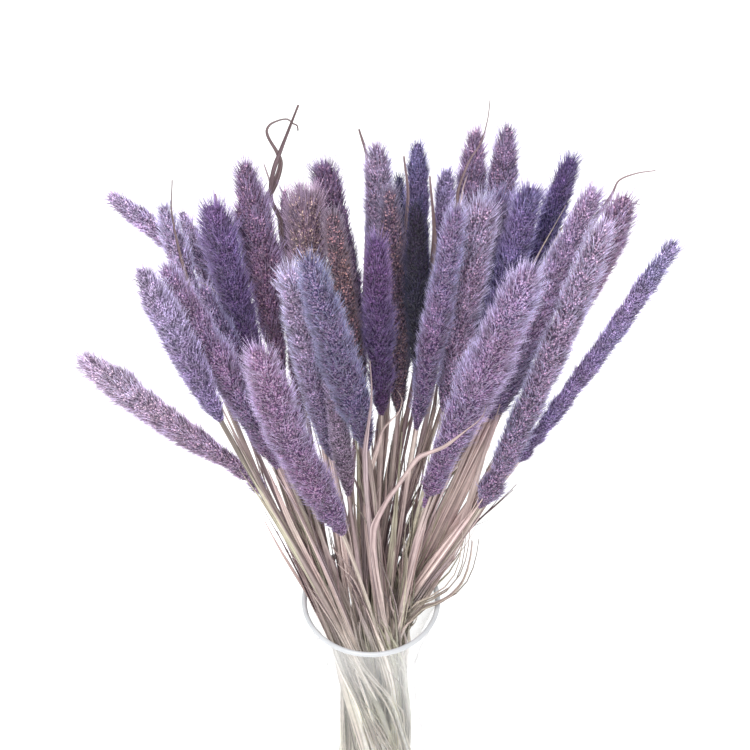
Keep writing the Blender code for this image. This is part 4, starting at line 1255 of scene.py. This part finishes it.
def make_stage(settings):
    """Makes the floor, the light and the camera."""
    scene = bpy.context.scene
    scene.view_settings.view_transform = "Standard"
    model = bmesh.new()
    bmesh.ops.create_grid(model, x_segments=1, y_segments=1, size=FLOOR_HALF)
    material, tree, shader = new_material("floor", 0.9)
    shader.inputs["Base Color"].default_value = (*settings.floor, 1.0)
    shader.inputs["Specular IOR Level"].default_value = 0.1
    shader.inputs["Emission Color"].default_value = (1.0, 1.0, 1.0, 1.0)
    shader.inputs["Emission Strength"].default_value = settings.floor_glow
    floor = new_piece("floor", finished_mesh(model, "floor", [material]))
    world = bpy.data.worlds.new("studio")
    world.use_nodes = True
    scene.world = world
    backing = world.node_tree.nodes["Background"]
    backing.inputs["Color"].default_value = (1.0, 1.0, 1.0, 1.0)
    backing.inputs["Strength"].default_value = settings.world
    light = bpy.data.lights.new("key", "AREA")
    light.shape = "DISK"
    light.size = KEY_SIZE
    light.energy = settings.key
    key = bpy.data.objects.new("key", light)
    key.location = KEY_PLACE
    key.rotation_euler = (KEY_AIM - KEY_PLACE).to_track_quat("-Z", "Y").to_euler()
    scene.collection.objects.link(key)
    lens = bpy.data.cameras.new("view")
    lens.sensor_width = SENSOR
    lens.lens = SENSOR * VIEW_FOCAL / VIEW_SIDE
    camera = bpy.data.objects.new("view", lens)
    camera.location = VIEW_PLACE
    camera.rotation_euler = (math.pi / 2 - VIEW_PITCH, 0.0, 0.0)
    scene.collection.objects.link(camera)
    scene.camera = camera


class BunchSettings(bpy.types.PropertyGroup):
    """All settings of the bunch."""

    vase: bpy.props.PointerProperty(type=VaseSettings)
    heads: bpy.props.PointerProperty(type=HeadSettings)
    straw: bpy.props.PointerProperty(type=StrawSettings)
    stage: bpy.props.PointerProperty(type=StageSettings)


class FOXTAIL_OT_stage(bpy.types.Operator):
    """Make the floor, the light and the camera"""

    bl_idname = "foxtail.stage"
    bl_label = "Stage"

    def execute(self, context):
        make_stage(context.scene.foxtail.stage)
        return {"FINISHED"}


class FOXTAIL_OT_vase(bpy.types.Operator):
    """Make the glass vase"""

    bl_idname = "foxtail.vase"
    bl_label = "Vase"

    def execute(self, context):
        make_vase(context.scene.foxtail.vase)
        return {"FINISHED"}


class FOXTAIL_OT_stalks(bpy.types.Operator):
    """Dress every stalk with its straw, sheath and head"""

    bl_idname = "foxtail.stalks"
    bl_label = "Stalks"

    def execute(self, context):
        settings = context.scene.foxtail
        slots = {part["node"]: part["material_slot"] for part in frame["record"]["subparts"]}
        for tone in TONES:
            seed_material(tone)
            bristle_shape(tone)
            grain_shape(tone)
        group = head_group(settings.heads)
        names = sorted(name for name in frame["nodes"] if name.startswith("stalk_"))
        for number, name in enumerate(names, start=1):
            dress_stalk(name, number, slots[name], settings, group)
        for tone in TONES:
            bpy.data.objects.remove(bpy.data.objects["bristle_" + tone])
            bpy.data.objects.remove(bpy.data.objects["grain_" + tone])
        return {"FINISHED"}


class FOXTAIL_OT_leaves(bpy.types.Operator):
    """Dress every dry leaf strip"""

    bl_idname = "foxtail.leaves"
    bl_label = "Leaf strips"

    def execute(self, context):
        settings = context.scene.foxtail
        names = sorted(name for name in frame["nodes"] if name.startswith("leaf_strip_"))
        for number, name in enumerate(names, start=1):
            dress_strip(name, number, settings)
        return {"FINISHED"}


class FOXTAIL_PT_panel(bpy.types.Panel):
    """Lists the steps that dress the bunch."""

    bl_idname = "FOXTAIL_PT_panel"
    bl_label = "Dried foxtail bunch"
    bl_space_type = "VIEW_3D"
    bl_region_type = "UI"
    bl_category = "Foxtail"

    def draw(self, context):
        for step in STEPS:
            self.layout.operator(step.bl_idname)


STEPS = (FOXTAIL_OT_stage, FOXTAIL_OT_vase, FOXTAIL_OT_stalks, FOXTAIL_OT_leaves)
CLASSES = (VaseSettings, HeadSettings, StrawSettings, StageSettings, BunchSettings, *STEPS,
           FOXTAIL_PT_panel)


def register():
    """Registers the settings, the steps and the panel."""
    for item in CLASSES:
        bpy.utils.register_class(item)
    bpy.types.Scene.foxtail = bpy.props.PointerProperty(type=BunchSettings)


def unregister():
    """Takes the settings, the steps and the panel away."""
    del bpy.types.Scene.foxtail
    for item in reversed(CLASSES):
        bpy.utils.unregister_class(item)


def main():
    """Dresses the whole bunch."""
    register()
    bpy.ops.foxtail.stage()
    bpy.ops.foxtail.vase()
    bpy.ops.foxtail.stalks()
    bpy.ops.foxtail.leaves()


if __name__ == "__main__":
    main()
